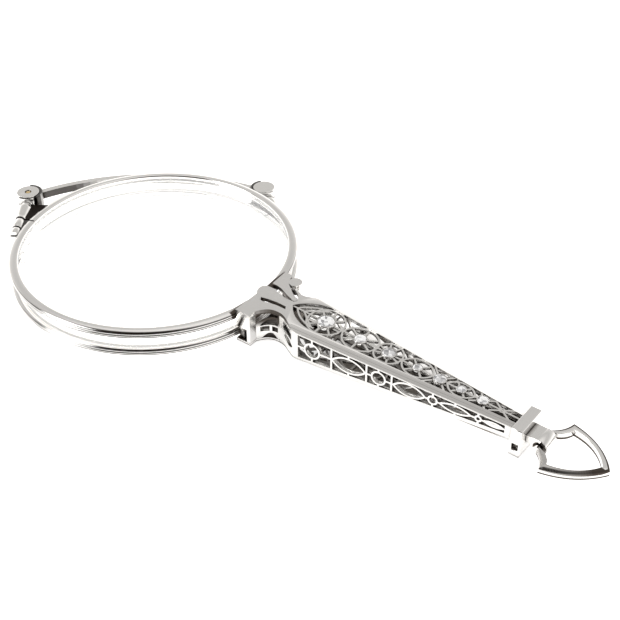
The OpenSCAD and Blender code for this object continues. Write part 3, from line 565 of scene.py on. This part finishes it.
# %% Clear stone
GLITTER_SCALE, GLITTER_PAINTED_GLOW, SEEN_THROUGH = 2300, 0.22, 0.15
GLITTER_STEPS = [(0.10, (0.30, 0.30, 0.31, 1)), (0.62, (1.0, 1.0, 1.0, 1))]


def painted_glitter(material):
    tree = material.node_tree
    shader = set_inputs(tree.nodes["Principled BSDF"], {
        "Transmission Weight": SEEN_THROUGH, "Emission Strength": GLITTER_PAINTED_GLOW})
    # Painted glints: light and dark patches in the colour, which also glow.
    patches = add_node(tree, "ShaderNodeTexVoronoi", {"Scale": GLITTER_SCALE})
    fix_to_piece(tree, patches)
    split = add_node(tree, "ShaderNodeSeparateColor")
    ramp = add_node(tree, "ShaderNodeValToRGB")
    fill_ramp(ramp, GLITTER_STEPS)
    wire(tree, (patches, "Color", split, "Color"), (split, "Red", ramp, "Fac"),
         (ramp, "Color", shader, "Base Color"), (ramp, "Color", shader, "Emission Color"))
    return material


STONE = painted_glitter(clear_glass("clear_stone", tint=(1, 1, 1), index=2.0, alpha=1.0, rough=0.03))
print("made", STONE.name)

# %% [markdown]
# ## Softened metal pieces
# No polished edge is sharp: the cloth and the wheel round it, and the bright line along
# each edge is how the eye reads metal. A copy of each solid gets its doubled points
# merged, its flat faces joined, and a small Bevel on every crease. The bevel is the
# size of the real rounding, 0.03 to 0.08 mm, and twice that on the end block.

# %% Soften a solid
MERGE_WITHIN = 0.0005 * MM
FLAT_WITHIN, CREASE = math.radians(0.4), math.radians(28)
BEVEL_STEPS, FLAT_WEIGHT = 2, 100


def merged_copy(node):
    mesh = frame["nodes"][node].data.copy()
    work = bmesh.new()
    work.from_mesh(mesh)
    bmesh.ops.remove_doubles(work, verts=work.verts, dist=MERGE_WITHIN)
    bmesh.ops.dissolve_limit(work, angle_limit=FLAT_WITHIN, verts=work.verts,
                             edges=work.edges, delimit={"NORMAL"})
    work.to_mesh(mesh)
    work.free()
    return mesh


def plain_mesh(piece):
    """Turns the live modifiers into a plain mesh."""
    graph = bpy.context.evaluated_depsgraph_get()
    mesh = bpy.data.meshes.new_from_object(piece.evaluated_get(graph), depsgraph=graph)
    piece.modifiers.clear()
    piece.data = mesh
    return piece


def softened(node, edge):
    piece = new_object(node + "_polished", merged_copy(node))
    bevel = piece.modifiers.new("soft edges", "BEVEL")
    bevel.width = edge * MM
    bevel.segments = BEVEL_STEPS
    bevel.limit_method = "ANGLE"
    bevel.angle_limit = CREASE
    flatter = piece.modifiers.new("flat faces stay flat", "WEIGHTED_NORMAL")
    flatter.mode = "FACE_AREA"
    flatter.weight = FLAT_WEIGHT
    piece.data.shade_smooth()
    return plain_mesh(piece)


print("softening helpers ready")

# %% [markdown]
# ## Marks of painted shade and patina
# Some faces get painted shade where shade falls on them, with some patina: the inside of the handle,
# the lower side of the frame, the faces between the hinge cheeks. A number on each such face, in an
# attribute, tells the metal's shader how dark it is. Faces are chosen by the way they look, by their
# height or by their distance from a spot, so the marks follow the shape.

# %% Mark the faces with painted shade
UP, DOWN, NEAR, FAR = (0, 0, 1), (0, 0, -1), (0, -1, 0), (0, 1, 0)
INWARD, OUTWARD = (0.6, -0.8, 0), (-0.6, 0.8, 0)
SQUARE_ON, SLANTED, ANY_WAY, NO_SPOT = 0.8, 0.3, -2, None
LEVEL_MARGIN, SPOT_FADE = 0.06, 1.6
FIXED_EYE, FOLDING_EYE, EYE_REACH = (-47.2, -2.0), (-22.2, 24.8), 3.2
FIXED_END, FOLDING_END = (-46.5, 1.0), (-23.0, 24.0)
# Each mark: the side a face looks to, how dark it is, how squarely it must look there, a
# spot (x, y, reach) round which the mark fades, and a level. Lengths are in mm.
# Every mark below paints shade into the colour of its faces, with some patina.
STAINS_AND_SHADE = {
    "handle_base": [(UP, 0.72)],
    "fork_base": [(UP, 0.85)],
    "side_panel_far": [(NEAR, 0.72)],
    "side_panel_near": [(FAR, 0.72)],
    "bridge": [(INWARD, 0.88, SLANTED, (*FIXED_END, 13)), (INWARD, 0.88, SLANTED, (*FOLDING_END, 9)),
               (OUTWARD, 0.8, SLANTED, (*FIXED_END, 8)), (OUTWARD, 0.8, SLANTED, (*FOLDING_END, 6)),
               (INWARD, 1.0, ANY_WAY, (*FIXED_EYE, EYE_REACH)),
               (INWARD, 1.0, ANY_WAY, (*FOLDING_EYE, EYE_REACH)), (DOWN, 0.8)],
    "catch_lug": [(NEAR, 0.8)],
    "catch_lever": [(INWARD, 0.85, 0.2)],
    "handle_top_frame": [(DOWN, 0.8), (INWARD, 0.95, 0.1, (0.4, 0.0, 4.2)),
                         (NEAR, 1.0, 0.15, (2.4, -4.0, 4.6))],
    "fork_block": [(FAR, 0.9), (INWARD, 0.8, SLANTED, (1.0, -3.6, 2.0))],
    "fixed_hinge_bracket": [(UP, 1.0, SQUARE_ON, NO_SPOT, 4.38), (UP, 0.9, SQUARE_ON, NO_SPOT, 5.2)],
    "fixed_screw_barrel": [(UP, 0.9, SQUARE_ON, NO_SPOT, 4.38)],
    "folding_hinge_bracket": [(UP, 1.0, SQUARE_ON, NO_SPOT, 1.5)],
    "folding_screw_barrel": [(UP, 0.9, SQUARE_ON, NO_SPOT, 1.5)],
}


def clamped(share):
    return max(0.0, min(1.0, share))


def face_marks(mesh):
    marks = mesh.attributes.get("dirt_and_painted_shade")
    return marks or mesh.attributes.new("dirt_and_painted_shade", "FLOAT", "FACE")


def stain_and_shade(piece, towards, amount, least=SQUARE_ON, spot=NO_SPOT, level=None):
    marks = face_marks(piece.data)
    for face in piece.data.polygons:
        at_level = level is None or abs(face.center.z / MM - level) < LEVEL_MARGIN
        if at_level and face.normal.dot(Vector(towards)) > least:
            share = 1.0
            if spot:
                away = (face.center.xy / MM - Vector(spot[:2])).length
                share = clamped(SPOT_FADE * (1 - away / spot[2]))
            mark = marks.data[face.index]
            mark.value = max(mark.value, amount * share)


print("marks for", len(STAINS_AND_SHADE), "pieces")

# %% Dress the white metal
WHITE_METAL = {
    "fixed_hinge_bracket": (0.06, HINGE_METAL), "folding_hinge_bracket": (0.06, HINGE_METAL),
    "fixed_screw_barrel": (0.05, HINGE_METAL), "folding_screw_barrel": (0.05, HINGE_METAL),
    "fixed_rim_screw": (0.04, HINGE_METAL), "folding_rim_screw": (0.04, HINGE_METAL),
    "catch_lug": (0.05, POLISHED), "bridge": (0.06, HINGE_METAL),
    "handle_top_frame": (0.05, FRAME_METAL), "fork_block": (0.06, POLISHED),
    "fork_gallery": (0.04, SHADED_GALLERY_METAL), "neck_post": (0.05, SHADED_INSIDE),
    "fork_base": (0.05, POLISHED), "handle_base": (0.03, PIERCED),
    "side_panel_near": (0.03, PIERCED), "side_panel_far": (0.03, PIERCED),
    "end_block": (0.16, POLISHED), "bail_lug": (0.06, POLISHED), "catch_lever": (0.05, POLISHED),
    "release_button": (0.08, POLISHED), "top_filigree": (0.05, PIERCED),
}
BODIES = frame["record"]["behaviour"]["bodies"]
BODY_OF = {node: body for body, nodes in BODIES.items() for node in nodes}


def finish_piece(piece, material, node):
    """Gives a piece its metal and its body, and hides the solid it stands for."""
    piece.data.materials.clear()
    piece.data.materials.append(material)
    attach(piece, BODY_OF[node])
    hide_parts(node)
    return piece


for node, (edge, material) in WHITE_METAL.items():
    piece = finish_piece(softened(node, edge), material, node)
    for mark in STAINS_AND_SHADE.get(node, []):
        stain_and_shade(piece, *mark)
    print(piece.name, len(piece.data.polygons), "faces")

# %% [markdown]
# ## Geometry Nodes helpers
# A goldsmith draws a wire through a plate with a shaped hole, then bends it. Geometry
# Nodes can do the same: the flat section is the input, and the tree bends it along a
# path. These helpers draw the section, run a tree with values set by name, and read the
# size of the solid that a piece stands for.

# %% Geometry node helpers
def run_tree(piece, tree, values):
    shaping = piece.modifiers.new(tree.name, "NODES")
    shaping.node_group = tree
    for item in tree.interface.items_tree:
        if item.item_type == "SOCKET" and item.name in values:
            shaping[item.identifier] = values[item.name]
    return plain_mesh(piece)


def drawn(name, points, closed=True):
    """An object whose mesh is a line through the points, given in millimetres."""
    mesh = bpy.data.meshes.new(name)
    count = len(points)
    edges = [(k, (k + 1) % count) for k in range(count if closed else count - 1)]
    mesh.from_pydata([Vector((x, y, z)) * MM for x, y, z in points], edges, [])
    return new_object(name, mesh)


def smoothed(piece, crease):
    piece.data.shade_smooth()
    piece.data.set_sharp_from_angle(angle=math.radians(crease))
    return piece


def box_of(node):
    """The lowest and the highest corner of a solid, in metres."""
    corners = [Vector(c) for c in frame["nodes"][node].bound_box]
    return [Vector([end(c[k] for c in corners) for k in range(3)]) for end in (min, max)]


def sweep_to_place(tree, given, result, path, section):
    """The last steps of a tree: sweeps the section along the path and moves the shape."""
    sweep = add_node(tree, "GeometryNodeCurveToMesh", {"Fill Caps": True})
    placed = add_node(tree, "GeometryNodeTransform")
    wire(tree, (path, 0, sweep, "Curve"), (section, 0, sweep, "Profile Curve"),
         (sweep, "Mesh", placed, "Geometry"), (given, "Place", placed, "Translation"),
         (placed, "Geometry", result, "Geometry"))
    return tree


print("geometry helpers ready")

# %% [markdown]
# ## The section of the rim wire
# Each rim is one drawn wire. Its section has a crowned top, two round beads on the
# outside with three narrow grooves beside them, and inside a groove for the lens. The
# wire is the same upside down, so only the upper edge is written out.

# %% Rim section
RIM_R, RIM_W, RIM_H = 20.75, 1.3, 1.24
INNER_EDGE = [(0, 0.21), (0.03, 0.15), (0.09, 0.09), (0.18, 0.045), (0.30, 0.015), (0.44, 0.0)]
OUTER_EDGE = [(0.74, 0.0), (0.60, 0.014), (0.46, 0.04), (0.33, 0.075), (0.22, 0.115), (0.13, 0.16),
              (0.09, 0.195), (0.10, 0.218), (0.25, 0.225)]
BEAD_OFF_MIDDLE, BEAD_FOOT, BEAD_FOOT_HALF = 0.165, 0.25, 0.108
BEAD_OUT, BEAD_HALF, BEAD_TURN = 0.11, 0.105, 18
LENS_GROOVE_DEPTH, LENS_GROOVE_HALF = 0.35, 0.32


def bead(level):
    """A half round bead, from its upper foot to its lower one."""
    angles = [math.radians(BEAD_TURN * k - 90) for k in range(180 // BEAD_TURN + 1)]
    arc = [(RIM_R - BEAD_OUT + BEAD_OUT * math.cos(a), level + BEAD_HALF * math.sin(a))
           for a in angles]
    foot = RIM_R - BEAD_FOOT
    return [(foot, level - BEAD_FOOT_HALF)] + arc + [(foot, level + BEAD_FOOT_HALF)]


def rim_section():
    """Points of the wire's section: X outwards from the ring's centre, Y downwards."""
    inner, middle = RIM_R - RIM_W, RIM_H / 2
    upper = [(inner + x, y) for x, y in INNER_EDGE] + [(RIM_R - x, y) for x, y in OUTER_EDGE]
    beads = bead(middle - BEAD_OFF_MIDDLE) + bead(middle + BEAD_OFF_MIDDLE)
    lower = [(x, RIM_H - y) for x, y in reversed(upper)]
    lip, deep = LENS_GROOVE_HALF, inner + LENS_GROOVE_DEPTH
    groove = [(inner, middle + lip), (deep, middle + lip), (deep, middle - lip), (inner, middle - lip)]
    return [(x, y, 0) for x, y in upper + beads + lower + groove]


print("rim section:", len(rim_section()), "points")

# %% [markdown]
# ## Bending the rims
# A rim is bent to a ring and saw-cut once at the closing barrels. The tree turns the
# section into a curve and sweeps it along an arc that leaves the saw cut open. The lower
# rim is the mirror image of the upper one, so only its starting angle and height differ.
# The grooves between the beads are marked dark: painted shade, with patina where no cloth reaches.

# %% Rims
RING_AT = (-22.5, 0.0)
RIM_LEVEL = {"fixed_rim": 4.60, "folding_rim": 1.72}
RIM_FINISH = {"fixed_rim": FIXED_RIM_SHADED_METAL, "folding_rim": RIM_METAL}
MIRROR_ANGLE = 137.0
HINGE_OUT, HINGE_ANGLE = 24.8, 184.6
BARREL_REACH, BARREL_ANGLE = 6.3 + 0.175, -53.5
SAW_CUT, RIM_STEPS, RIM_CREASE = 0.3, 480, 32
GROOVE_DEPTHS = (0.285, RIM_H / 2, RIM_H - 0.285)
GROOVE_IN_FROM, GROOVE_IN_TO, GROOVE_HALF = 0.20, 0.30, 0.05


def rim_tree():
    tree, given, result = new_tree("GeometryNodeTree", "bent_rim_wire", {
        "Geometry": "Geometry", "Start": "Float", "Sweep": "Float", "Place": "Vector",
        "Radius": "Float", "Steps": "Int"}, {"Geometry": "Geometry"})
    section = add_node(tree, "GeometryNodeMeshToCurve")
    path = add_node(tree, "GeometryNodeCurveArc")
    upright = add_node(tree, "GeometryNodeSetCurveNormal", mode="Z_UP")
    inward = add_node(tree, "GeometryNodeTransform")
    back = add_node(tree, "ShaderNodeCombineXYZ")
    tree.links.new(math_node(tree, "MULTIPLY", given.outputs["Radius"], -1), back.inputs["X"])
    wire(tree, (given, "Geometry", section, "Mesh"), (given, "Start", path, "Start Angle"),
         (given, "Sweep", path, "Sweep Angle"), (given, "Radius", path, "Radius"),
         (given, "Steps", path, "Resolution"), (section, "Curve", inward, "Geometry"),
         (back, "Vector", inward, "Translation"), (path, "Curve", upright, "Curve"))
    return sweep_to_place(tree, given, result, upright, inward)


def polar(length, angle):
    return Vector((length * math.cos(math.radians(angle)), length * math.sin(math.radians(angle))))


def cut_angle(node):
    """Where the rim is cut: at the middle of its closing barrels, seen from its centre."""
    barrels = polar(HINGE_OUT, HINGE_ANGLE) + polar(BARREL_REACH, BARREL_ANGLE)
    angle = math.atan2(barrels.y, barrels.x)
    return angle if node == "fixed_rim" else 2 * math.radians(MIRROR_ANGLE) - angle


# Paints shade into the grooves of the rim wire.
def darken_grooves(rim, level):
    marks = face_marks(rim.data)
    for face in rim.data.polygons:
        inset = RIM_R - (face.center.xy / MM - Vector(RING_AT)).length
        depth = level - face.center.z / MM
        at_groove = min(abs(depth - d) for d in GROOVE_DEPTHS) < GROOVE_HALF
        if at_groove and GROOVE_IN_FROM < inset < GROOVE_IN_TO:
            marks.data[face.index].value = 1.0


RIM_TREE = rim_tree()
for node, level in RIM_LEVEL.items():
    cut, half_cut = cut_angle(node), SAW_CUT / 2 / RIM_R
    rim = run_tree(drawn(node + "_wire", rim_section()), RIM_TREE, {
        "Start": cut + half_cut, "Sweep": 2 * math.pi - 2 * half_cut, "Steps": RIM_STEPS,
        "Place": [RING_AT[0] * MM, RING_AT[1] * MM, level * MM], "Radius": RIM_R * MM})
    finish_piece(smoothed(rim, RIM_CREASE), RIM_FINISH[node], node)
    darken_grooves(rim, level)
    print(rim.name, len(rim.data.polygons), "faces, cut at", round(math.degrees(cut), 1), "degrees")

# %% [markdown]
# ## Hinge springs
# Each spring is round wire wound three times round its pin. A Spiral curve carries the
# wire's round section. Its size is read from the solid that it stands for.

# %% Springs
SPRING_WIRE, SPRING_TURNS = 0.22 * MM, 3.0
TURN_STEPS, WIRE_SIDES = 40, 12


def spring_tree():
    tree, given, result = new_tree("GeometryNodeTree", "wound_spring", {
        "Geometry": "Geometry", "Turns": "Float", "Mean Radius": "Float", "Length": "Float",
        "Wire Radius": "Float", "Place": "Vector"}, {"Geometry": "Geometry"})
    path = add_node(tree, "GeometryNodeCurveSpiral", {"Resolution": TURN_STEPS})
    section = add_node(tree, "GeometryNodeCurvePrimitiveCircle", {"Resolution": WIRE_SIDES})
    wire(tree, (given, "Turns", path, "Rotations"), (given, "Mean Radius", path, "Start Radius"),
         (given, "Mean Radius", path, "End Radius"), (given, "Length", path, "Height"),
         (given, "Wire Radius", section, "Radius"))
    return sweep_to_place(tree, given, result, path, section)


SPRING_TREE = spring_tree()
for node in ("fixed_hinge_spring", "folding_hinge_spring"):
    low, high = box_of(node)
    spring = run_tree(drawn(node + "_wire", [(0, 0, 0)], closed=False), SPRING_TREE, {
        "Turns": SPRING_TURNS, "Mean Radius": (high.x - low.x) / 2 - SPRING_WIRE / 2,
        "Length": high.z - low.z - SPRING_WIRE, "Wire Radius": SPRING_WIRE / 2,
        "Place": [(low.x + high.x) / 2, (low.y + high.y) / 2, low.z + SPRING_WIRE / 2]})
    spring.data.shade_smooth()
    finish_piece(spring, SPRING, node)
    print(spring.name, len(spring.data.polygons), "faces")

# %% [markdown]
# ## Brilliants and collets
# Each stone is a brilliant: a table, a crown of facets, a girdle and a pavilion, which
# is the convex hull of a few rings of points. Its collet is a turned ring with a bright
# lip, so a lathe makes it: a closed profile is turned round the Z axis.

# %% Brilliant and collet
STONE_R, COLLET_T, STONE_PLAY = 1.16, 0.17, 0.02
SEAT_R = STONE_R + COLLET_T
COLLET_FLOOR, COLLET_TOP, COLLET_STEPS = -0.47, 0.07, 40
LEDGE = 0.25
# Each ring of a brilliant: share of the radius, height in mm, corners, turn in degrees.
STONE_RINGS = [(0.58, 0.30, 8, 22.5), (0.84, 0.20, 8, 0), (1.0, 0.04, 16, 11.25),
               (1.0, 0.0, 16, 11.25), (0.55, -0.30, 8, 0), (0.02, -0.42, 4, 0)]


def brilliant():
    shape = bmesh.new()
    for share, height, count, turn in STONE_RINGS:
        for k in range(count):
            corner = polar((STONE_R - STONE_PLAY) * share, turn + 360 * k / count)
            shape.verts.new((corner.x * MM, corner.y * MM, height * MM))
    bmesh.ops.convex_hull(shape, input=shape.verts)
    bmesh.ops.recalc_face_normals(shape, faces=shape.faces)
    mesh = bpy.data.meshes.new("brilliant")
    shape.to_mesh(mesh)
    shape.free()
    return new_object("brilliant", mesh)


def turned(name, profile, steps):
    """A lathe: turns a closed profile of (radius, height) points round the Z axis."""
    mesh = bpy.data.meshes.new(name)
    points, faces, count = [], [], len(profile)
    for k in range(steps):
        a = 2 * math.pi * k / steps
        points += [(r * math.cos(a) * MM, r * math.sin(a) * MM, z * MM) for r, z in profile]
    for k in range(steps):
        for m in range(count):
            n, after = (m + 1) % count, (k + 1) % steps
            faces.append((k * count + m, after * count + m, after * count + n, k * count + n))
    mesh.from_pydata(points, [], faces)
    mesh.update()
    return new_object(name, mesh)


def collet():
    outer, inner = SEAT_R, STONE_R - 2 * STONE_PLAY
    seat = inner - LEDGE
    return turned("collet", [
        (seat, COLLET_FLOOR), (outer, COLLET_FLOOR), (outer, -0.02), (outer - 0.03, 0.04),
        (outer - 0.09, COLLET_TOP), (inner + 0.02, COLLET_TOP), (inner, 0.03), (inner, -0.05),
        (seat, -0.33)], COLLET_STEPS)


STONE_MODEL, COLLET_MODEL = brilliant(), collet()
print("brilliant:", len(STONE_MODEL.data.polygons), "facets")

# %% [markdown]
# ## Setting the stones
# Seven stones of falling size stand along the sloping top of the handle. The tree puts
# one set stone on each point and scales it by the size stored there, so all seven come
# from one drawing. It also lays a row of fine beads on the lip of each collet, as a
# beading tool raises them.

# %% Set the stones
TOP_SLOPE, TOP_Z, SLOPE_FROM = 0.040, 5.15, 2.6
SLOPE_ANGLE = math.atan(TOP_SLOPE)
STONE_PLACE = (0.2274, 0.375, 0.492, 0.609, 0.6968, 0.7793, 0.8617)
STONE_SHARE = (1, 0.65, 0.715, 0.455, 0.64, 0.44, 0.54)
BEADS, BEAD_R, BEAD_IN, BEAD_Z, BEAD_FINENESS = 30, 0.075 * MM, 0.09, 0.085 * MM, 1
COLLET_CREASE = 40


def setting_tree():
    tree, given, result = new_tree("GeometryNodeTree", "set_along_handle", {
        "Geometry": "Geometry", "Model": "Object", "Beads": "Int", "Bead Radius": "Float",
        "Bead Ring": "Float"}, {"Geometry": "Geometry"})
    points = add_node(tree, "GeometryNodeMeshToPoints")
    model = add_node(tree, "GeometryNodeObjectInfo")
    ring = add_node(tree, "GeometryNodeCurvePrimitiveCircle")
    ring_points = add_node(tree, "GeometryNodeCurveToPoints")
    one_bead = add_node(tree, "GeometryNodeMeshIcoSphere", {"Subdivisions": BEAD_FINENESS})
    beads = add_node(tree, "GeometryNodeInstanceOnPoints")
    lifted = add_node(tree, "GeometryNodeTransform", {"Translation": (0, 0, BEAD_Z)})
    joined = add_node(tree, "GeometryNodeJoinGeometry")
    whole = add_node(tree, "GeometryNodeGeometryToInstance")
    share = add_node(tree, "GeometryNodeInputNamedAttribute", {"Name": "share"}, data_type="FLOAT")
    setting = add_node(tree, "GeometryNodeInstanceOnPoints", {"Rotation": (0, SLOPE_ANGLE, 0)})
    solid = add_node(tree, "GeometryNodeRealizeInstances")
    wire(tree, (given, "Geometry", points, "Mesh"), (given, "Model", model, "Object"),
         (given, "Bead Ring", ring, "Radius"), (ring, "Curve", ring_points, "Curve"),
         (given, "Beads", ring_points, "Count"), (given, "Bead Radius", one_bead, "Radius"),
         (ring_points, "Points", beads, "Points"), (one_bead, "Mesh", beads, "Instance"),
         (beads, "Instances", lifted, "Geometry"), (model, "Geometry", joined, "Geometry"),
         (lifted, "Geometry", joined, "Geometry"), (joined, "Geometry", whole, "Geometry"),
         (points, "Points", setting, "Points"), (whole, "Instances", setting, "Instance"),
         (share, "Attribute", setting, "Scale"), (setting, "Instances", solid, "Geometry"),
         (solid, "Geometry", result, "Geometry"))
    return tree


def on_top(x):
    """The point of the sloping top that lies x mm along it from the fork's root."""
    along = x - SLOPE_FROM
    return (SLOPE_FROM + along * math.cos(SLOPE_ANGLE), 0, TOP_Z - along * math.sin(SLOPE_ANGLE))


def set_along_handle(name, model, beads, finish, node):
    piece = drawn(name, [on_top(place * HANDLE_LEN) for place in STONE_PLACE], closed=False)
    sizes = piece.data.attributes.new("share", "FLOAT", "POINT")
    sizes.data.foreach_set("value", [(STONE_R * q + COLLET_T) / SEAT_R for q in STONE_SHARE])
    run_tree(piece, SETTING_TREE, {"Model": model, "Beads": beads, "Bead Radius": BEAD_R,
                                   "Bead Ring": (SEAT_R - BEAD_IN) * MM})
    finish_piece(piece, finish, node)
    bpy.data.objects.remove(model)
    print(piece.name, len(piece.data.polygons), "faces")
    return piece


SETTING_TREE = setting_tree()
set_along_handle("stones_cut", STONE_MODEL, 0, STONE, "stones")
smoothed(set_along_handle("stone_collets_beaded", COLLET_MODEL, BEADS, POLISHED,
                          "stone_collets"), COLLET_CREASE)

# %% [markdown]
# ## The bail's outline and section
# The loop is a band filed by hand. The outline of one half is two bowed lines, from the
# bar to the shoulder and from there to the tip, and the other half mirrors it. Each
# station of the outline carries a section. On the near arm its top falls to the outer
# side and mirrors the dark of the room, on the far arm it was left nearly flat.

# %% Bail outline
OUTER_LINE = [Vector((-0.5, 1.55)), Vector((1.7, 4.6)), Vector((8.6, 0.0))]
BAND = 0.75
INWARD_BY = [Vector((BAND, 0.1)), Vector((0.75 * BAND, -1.35 * BAND)), Vector((-1.3 * BAND, 0))]
OUTER_BOWS, INNER_BOWS = (-0.45, 0.85), (-0.4, 0.8)
ARM_STEPS, SIDE_STEPS = 12, 24
# Both sections: share of the way from the outer to the inner line, height in mm.
CROWN = [(0, -0.5), (0, -0.28), (0, 0.02), (0.03, 0.12), (0.15, 0.27), (0.34, 0.39), (0.56, 0.465),
         (0.8, 0.495), (0.93, 0.49), (0.99, 0.44), (1, 0.36), (1, -0.18), (1, -0.5)]
FLAT_TOP = [(0, -0.5), (0, -0.28), (0, 0.34), (0.02, 0.42), (0.08, 0.475), (0.34, 0.5), (0.56, 0.5),
            (0.8, 0.495), (0.93, 0.47), (0.99, 0.42), (1, 0.36), (1, -0.18), (1, -0.5)]


def bowed(start, end, bow, steps):
    """Points of a shallow bow between two points."""
    way = end - start
    side = Vector((-way.y, way.x)).normalized()
    return [start + way * (k / steps) + side * 4 * bow * (k / steps) * (1 - k / steps)
            for k in range(steps + 1)]


def half_outline(corners, bows):
    arm = bowed(corners[0], corners[1], bows[0], ARM_STEPS)
    return arm + bowed(corners[1], corners[2], bows[1], SIDE_STEPS)[1:]


def bail_stations():
    """Pairs of an outer and an inner point, from the far end of the bar to the near one."""
    inner_line = [corner + by for corner, by in zip(OUTER_LINE, INWARD_BY)]
    half = list(zip(half_outline(OUTER_LINE, OUTER_BOWS), half_outline(inner_line, INNER_BOWS)))
    return half + [(Vector((o.x, -o.y)), Vector((i.x, -i.y))) for o, i in reversed(half[:-1])]


print("bail:", len(bail_stations()), "stations of", len(CROWN), "points")

# %% [markdown]
# ## The bail
# The quads between the stations make the band, and a short round bar joins its ends inside the lug.
# Its lower edges get painted shade. On the near arm a painted dark reflection on the top grows darker
# towards the tip, and on the far arm a painted dark line runs along its outer edge only.

# %% Bail
BAIL_AT = (40.85, 1.9)
BAR_R, BAR_HALF, BAR_SIDES = 0.5, 1.3 + 0.6, 32
TIP_TURN, BAIL_CREASE = 1.5, 38
DARK_FROM, DARK_OVER, DARK_LEAST = 2.5, 5, 0.35
LOWER_STRIPS, NEAR_TOP, FAR_TOP = (0, len(CROWN) - 2), range(2, 8), range(2, 5)


def bail_points(stations):
    points = []
    for outer, inner in stations:
        far = clamped(0.5 + outer.y / TIP_TURN)
        for crowned, flat in zip(CROWN, FLAT_TOP):
            share, height = [a + (b - a) * far for a, b in zip(crowned, flat)]
            spot = outer.lerp(inner, share)
            points.append(((spot.x + BAIL_AT[0]) * MM, spot.y * MM, (BAIL_AT[1] + height) * MM))
    return points


def bail_band(stations):
    count, last = len(CROWN), (len(stations) - 1) * len(CROWN)
    faces = [(start + m, start + count + m, start + count + (m + 1) % count, start + (m + 1) % count)
             for start in range(0, last, count) for m in range(count)]
    ends = [tuple(range(count - 1, -1, -1)), tuple(range(last, last + count))]
    mesh = bpy.data.meshes.new("bail_band")
    mesh.from_pydata(bail_points(stations), [], faces + ends)
    return mesh


# Painted shade on the lower edges and painted dark reflections on the tops of the arms.
def darken_bail(mesh, stations):
    marks = face_marks(mesh)
    for k, (outer, _) in enumerate(stations[:-1]):
        near_shade = DARK_LEAST + (1 - DARK_LEAST) * clamped((outer.x - DARK_FROM) / DARK_OVER)
        top, shade = (NEAR_TOP, near_shade) if outer.y < 0 else (FAR_TOP, 1.0)
        for m in range(len(CROWN)):
            dark = shade if m in top else 1.0 if m in LOWER_STRIPS else 0.0
            marks.data[k * len(CROWN) + m].value = dark
    return mesh


def add_bar(mesh):
    shape = bmesh.new()
    shape.from_mesh(mesh)
    bmesh.ops.recalc_face_normals(shape, faces=shape.faces)
    at = Matrix.Translation(Vector((BAIL_AT[0], 0, BAIL_AT[1])) * MM)
    bmesh.ops.create_cone(shape, cap_ends=True, segments=BAR_SIDES, radius1=BAR_R * MM,
                          radius2=BAR_R * MM, depth=2 * BAR_HALF * MM,
                          matrix=at @ Matrix.Rotation(math.pi / 2, 4, "X"))
    shape.to_mesh(mesh)
    shape.free()
    return mesh


stations = bail_stations()
bail = new_object("bail_crowned", add_bar(darken_bail(bail_band(stations), stations)))
finish_piece(smoothed(bail, BAIL_CREASE), POLISHED, "bail")
print(bail.name, len(bail.data.polygons), "faces",
      sum(m.value > 0 for m in face_marks(bail.data).data), "of them dark")

# %% [markdown]
# ## Pins with turned heads
# Each hinge pin ends a little below the face of the cheek, in a fine dark ring. The head
# is domed by the file. The lathe helper turns them from a profile.

# %% Pins
PIN_HOLE, PIN_STEPS, PIN_CREASE = 0.0005, 32, 35
DOME_H, DOME_SHARE, DOME_TURN = 0.16, 0.80, 15
RING_DEPTH, RING_SHARE = 0.2, 0.82


def domed_pin(node):
    low, high = [corner / MM for corner in box_of(node)]
    r, ring = (high.x - low.x) / 2, high.z - RING_DEPTH
    dome = [(r * DOME_SHARE * math.cos(a), high.z - DOME_H + DOME_H * math.sin(a))
            for a in [math.radians(DOME_TURN * k) for k in range(90 // DOME_TURN)]]
    shank = [(PIN_HOLE, low.z), (r, low.z), (r, ring), (r * RING_SHARE, ring)]
    pin = turned(node + "_domed", shank + dome + [(PIN_HOLE, high.z)], PIN_STEPS)
    middle = Vector(((low.x + high.x) / 2, (low.y + high.y) / 2, 0)) * MM
    pin.data.transform(Matrix.Translation(middle))
    return finish_piece(smoothed(pin, PIN_CREASE), BRASS, node)


for node in ("fixed_hinge_pin", "folding_hinge_pin", "lever_pin"):
    print(domed_pin(node).name)

# %% [markdown]
# ## Lenses
# The lenses keep the exact solids of the frame. They only need their glass.

# %% Lens glass
for node in ("fixed_lens", "folding_lens"):
    shape = frame["nodes"][node]
    if not shape.material_slots:
        shape.data.materials.append(None)
    for place in shape.material_slots:
        place.link = "OBJECT"
        place.material = LENS_GLASS
    shape.data.shade_smooth()
print("lenses glazed")
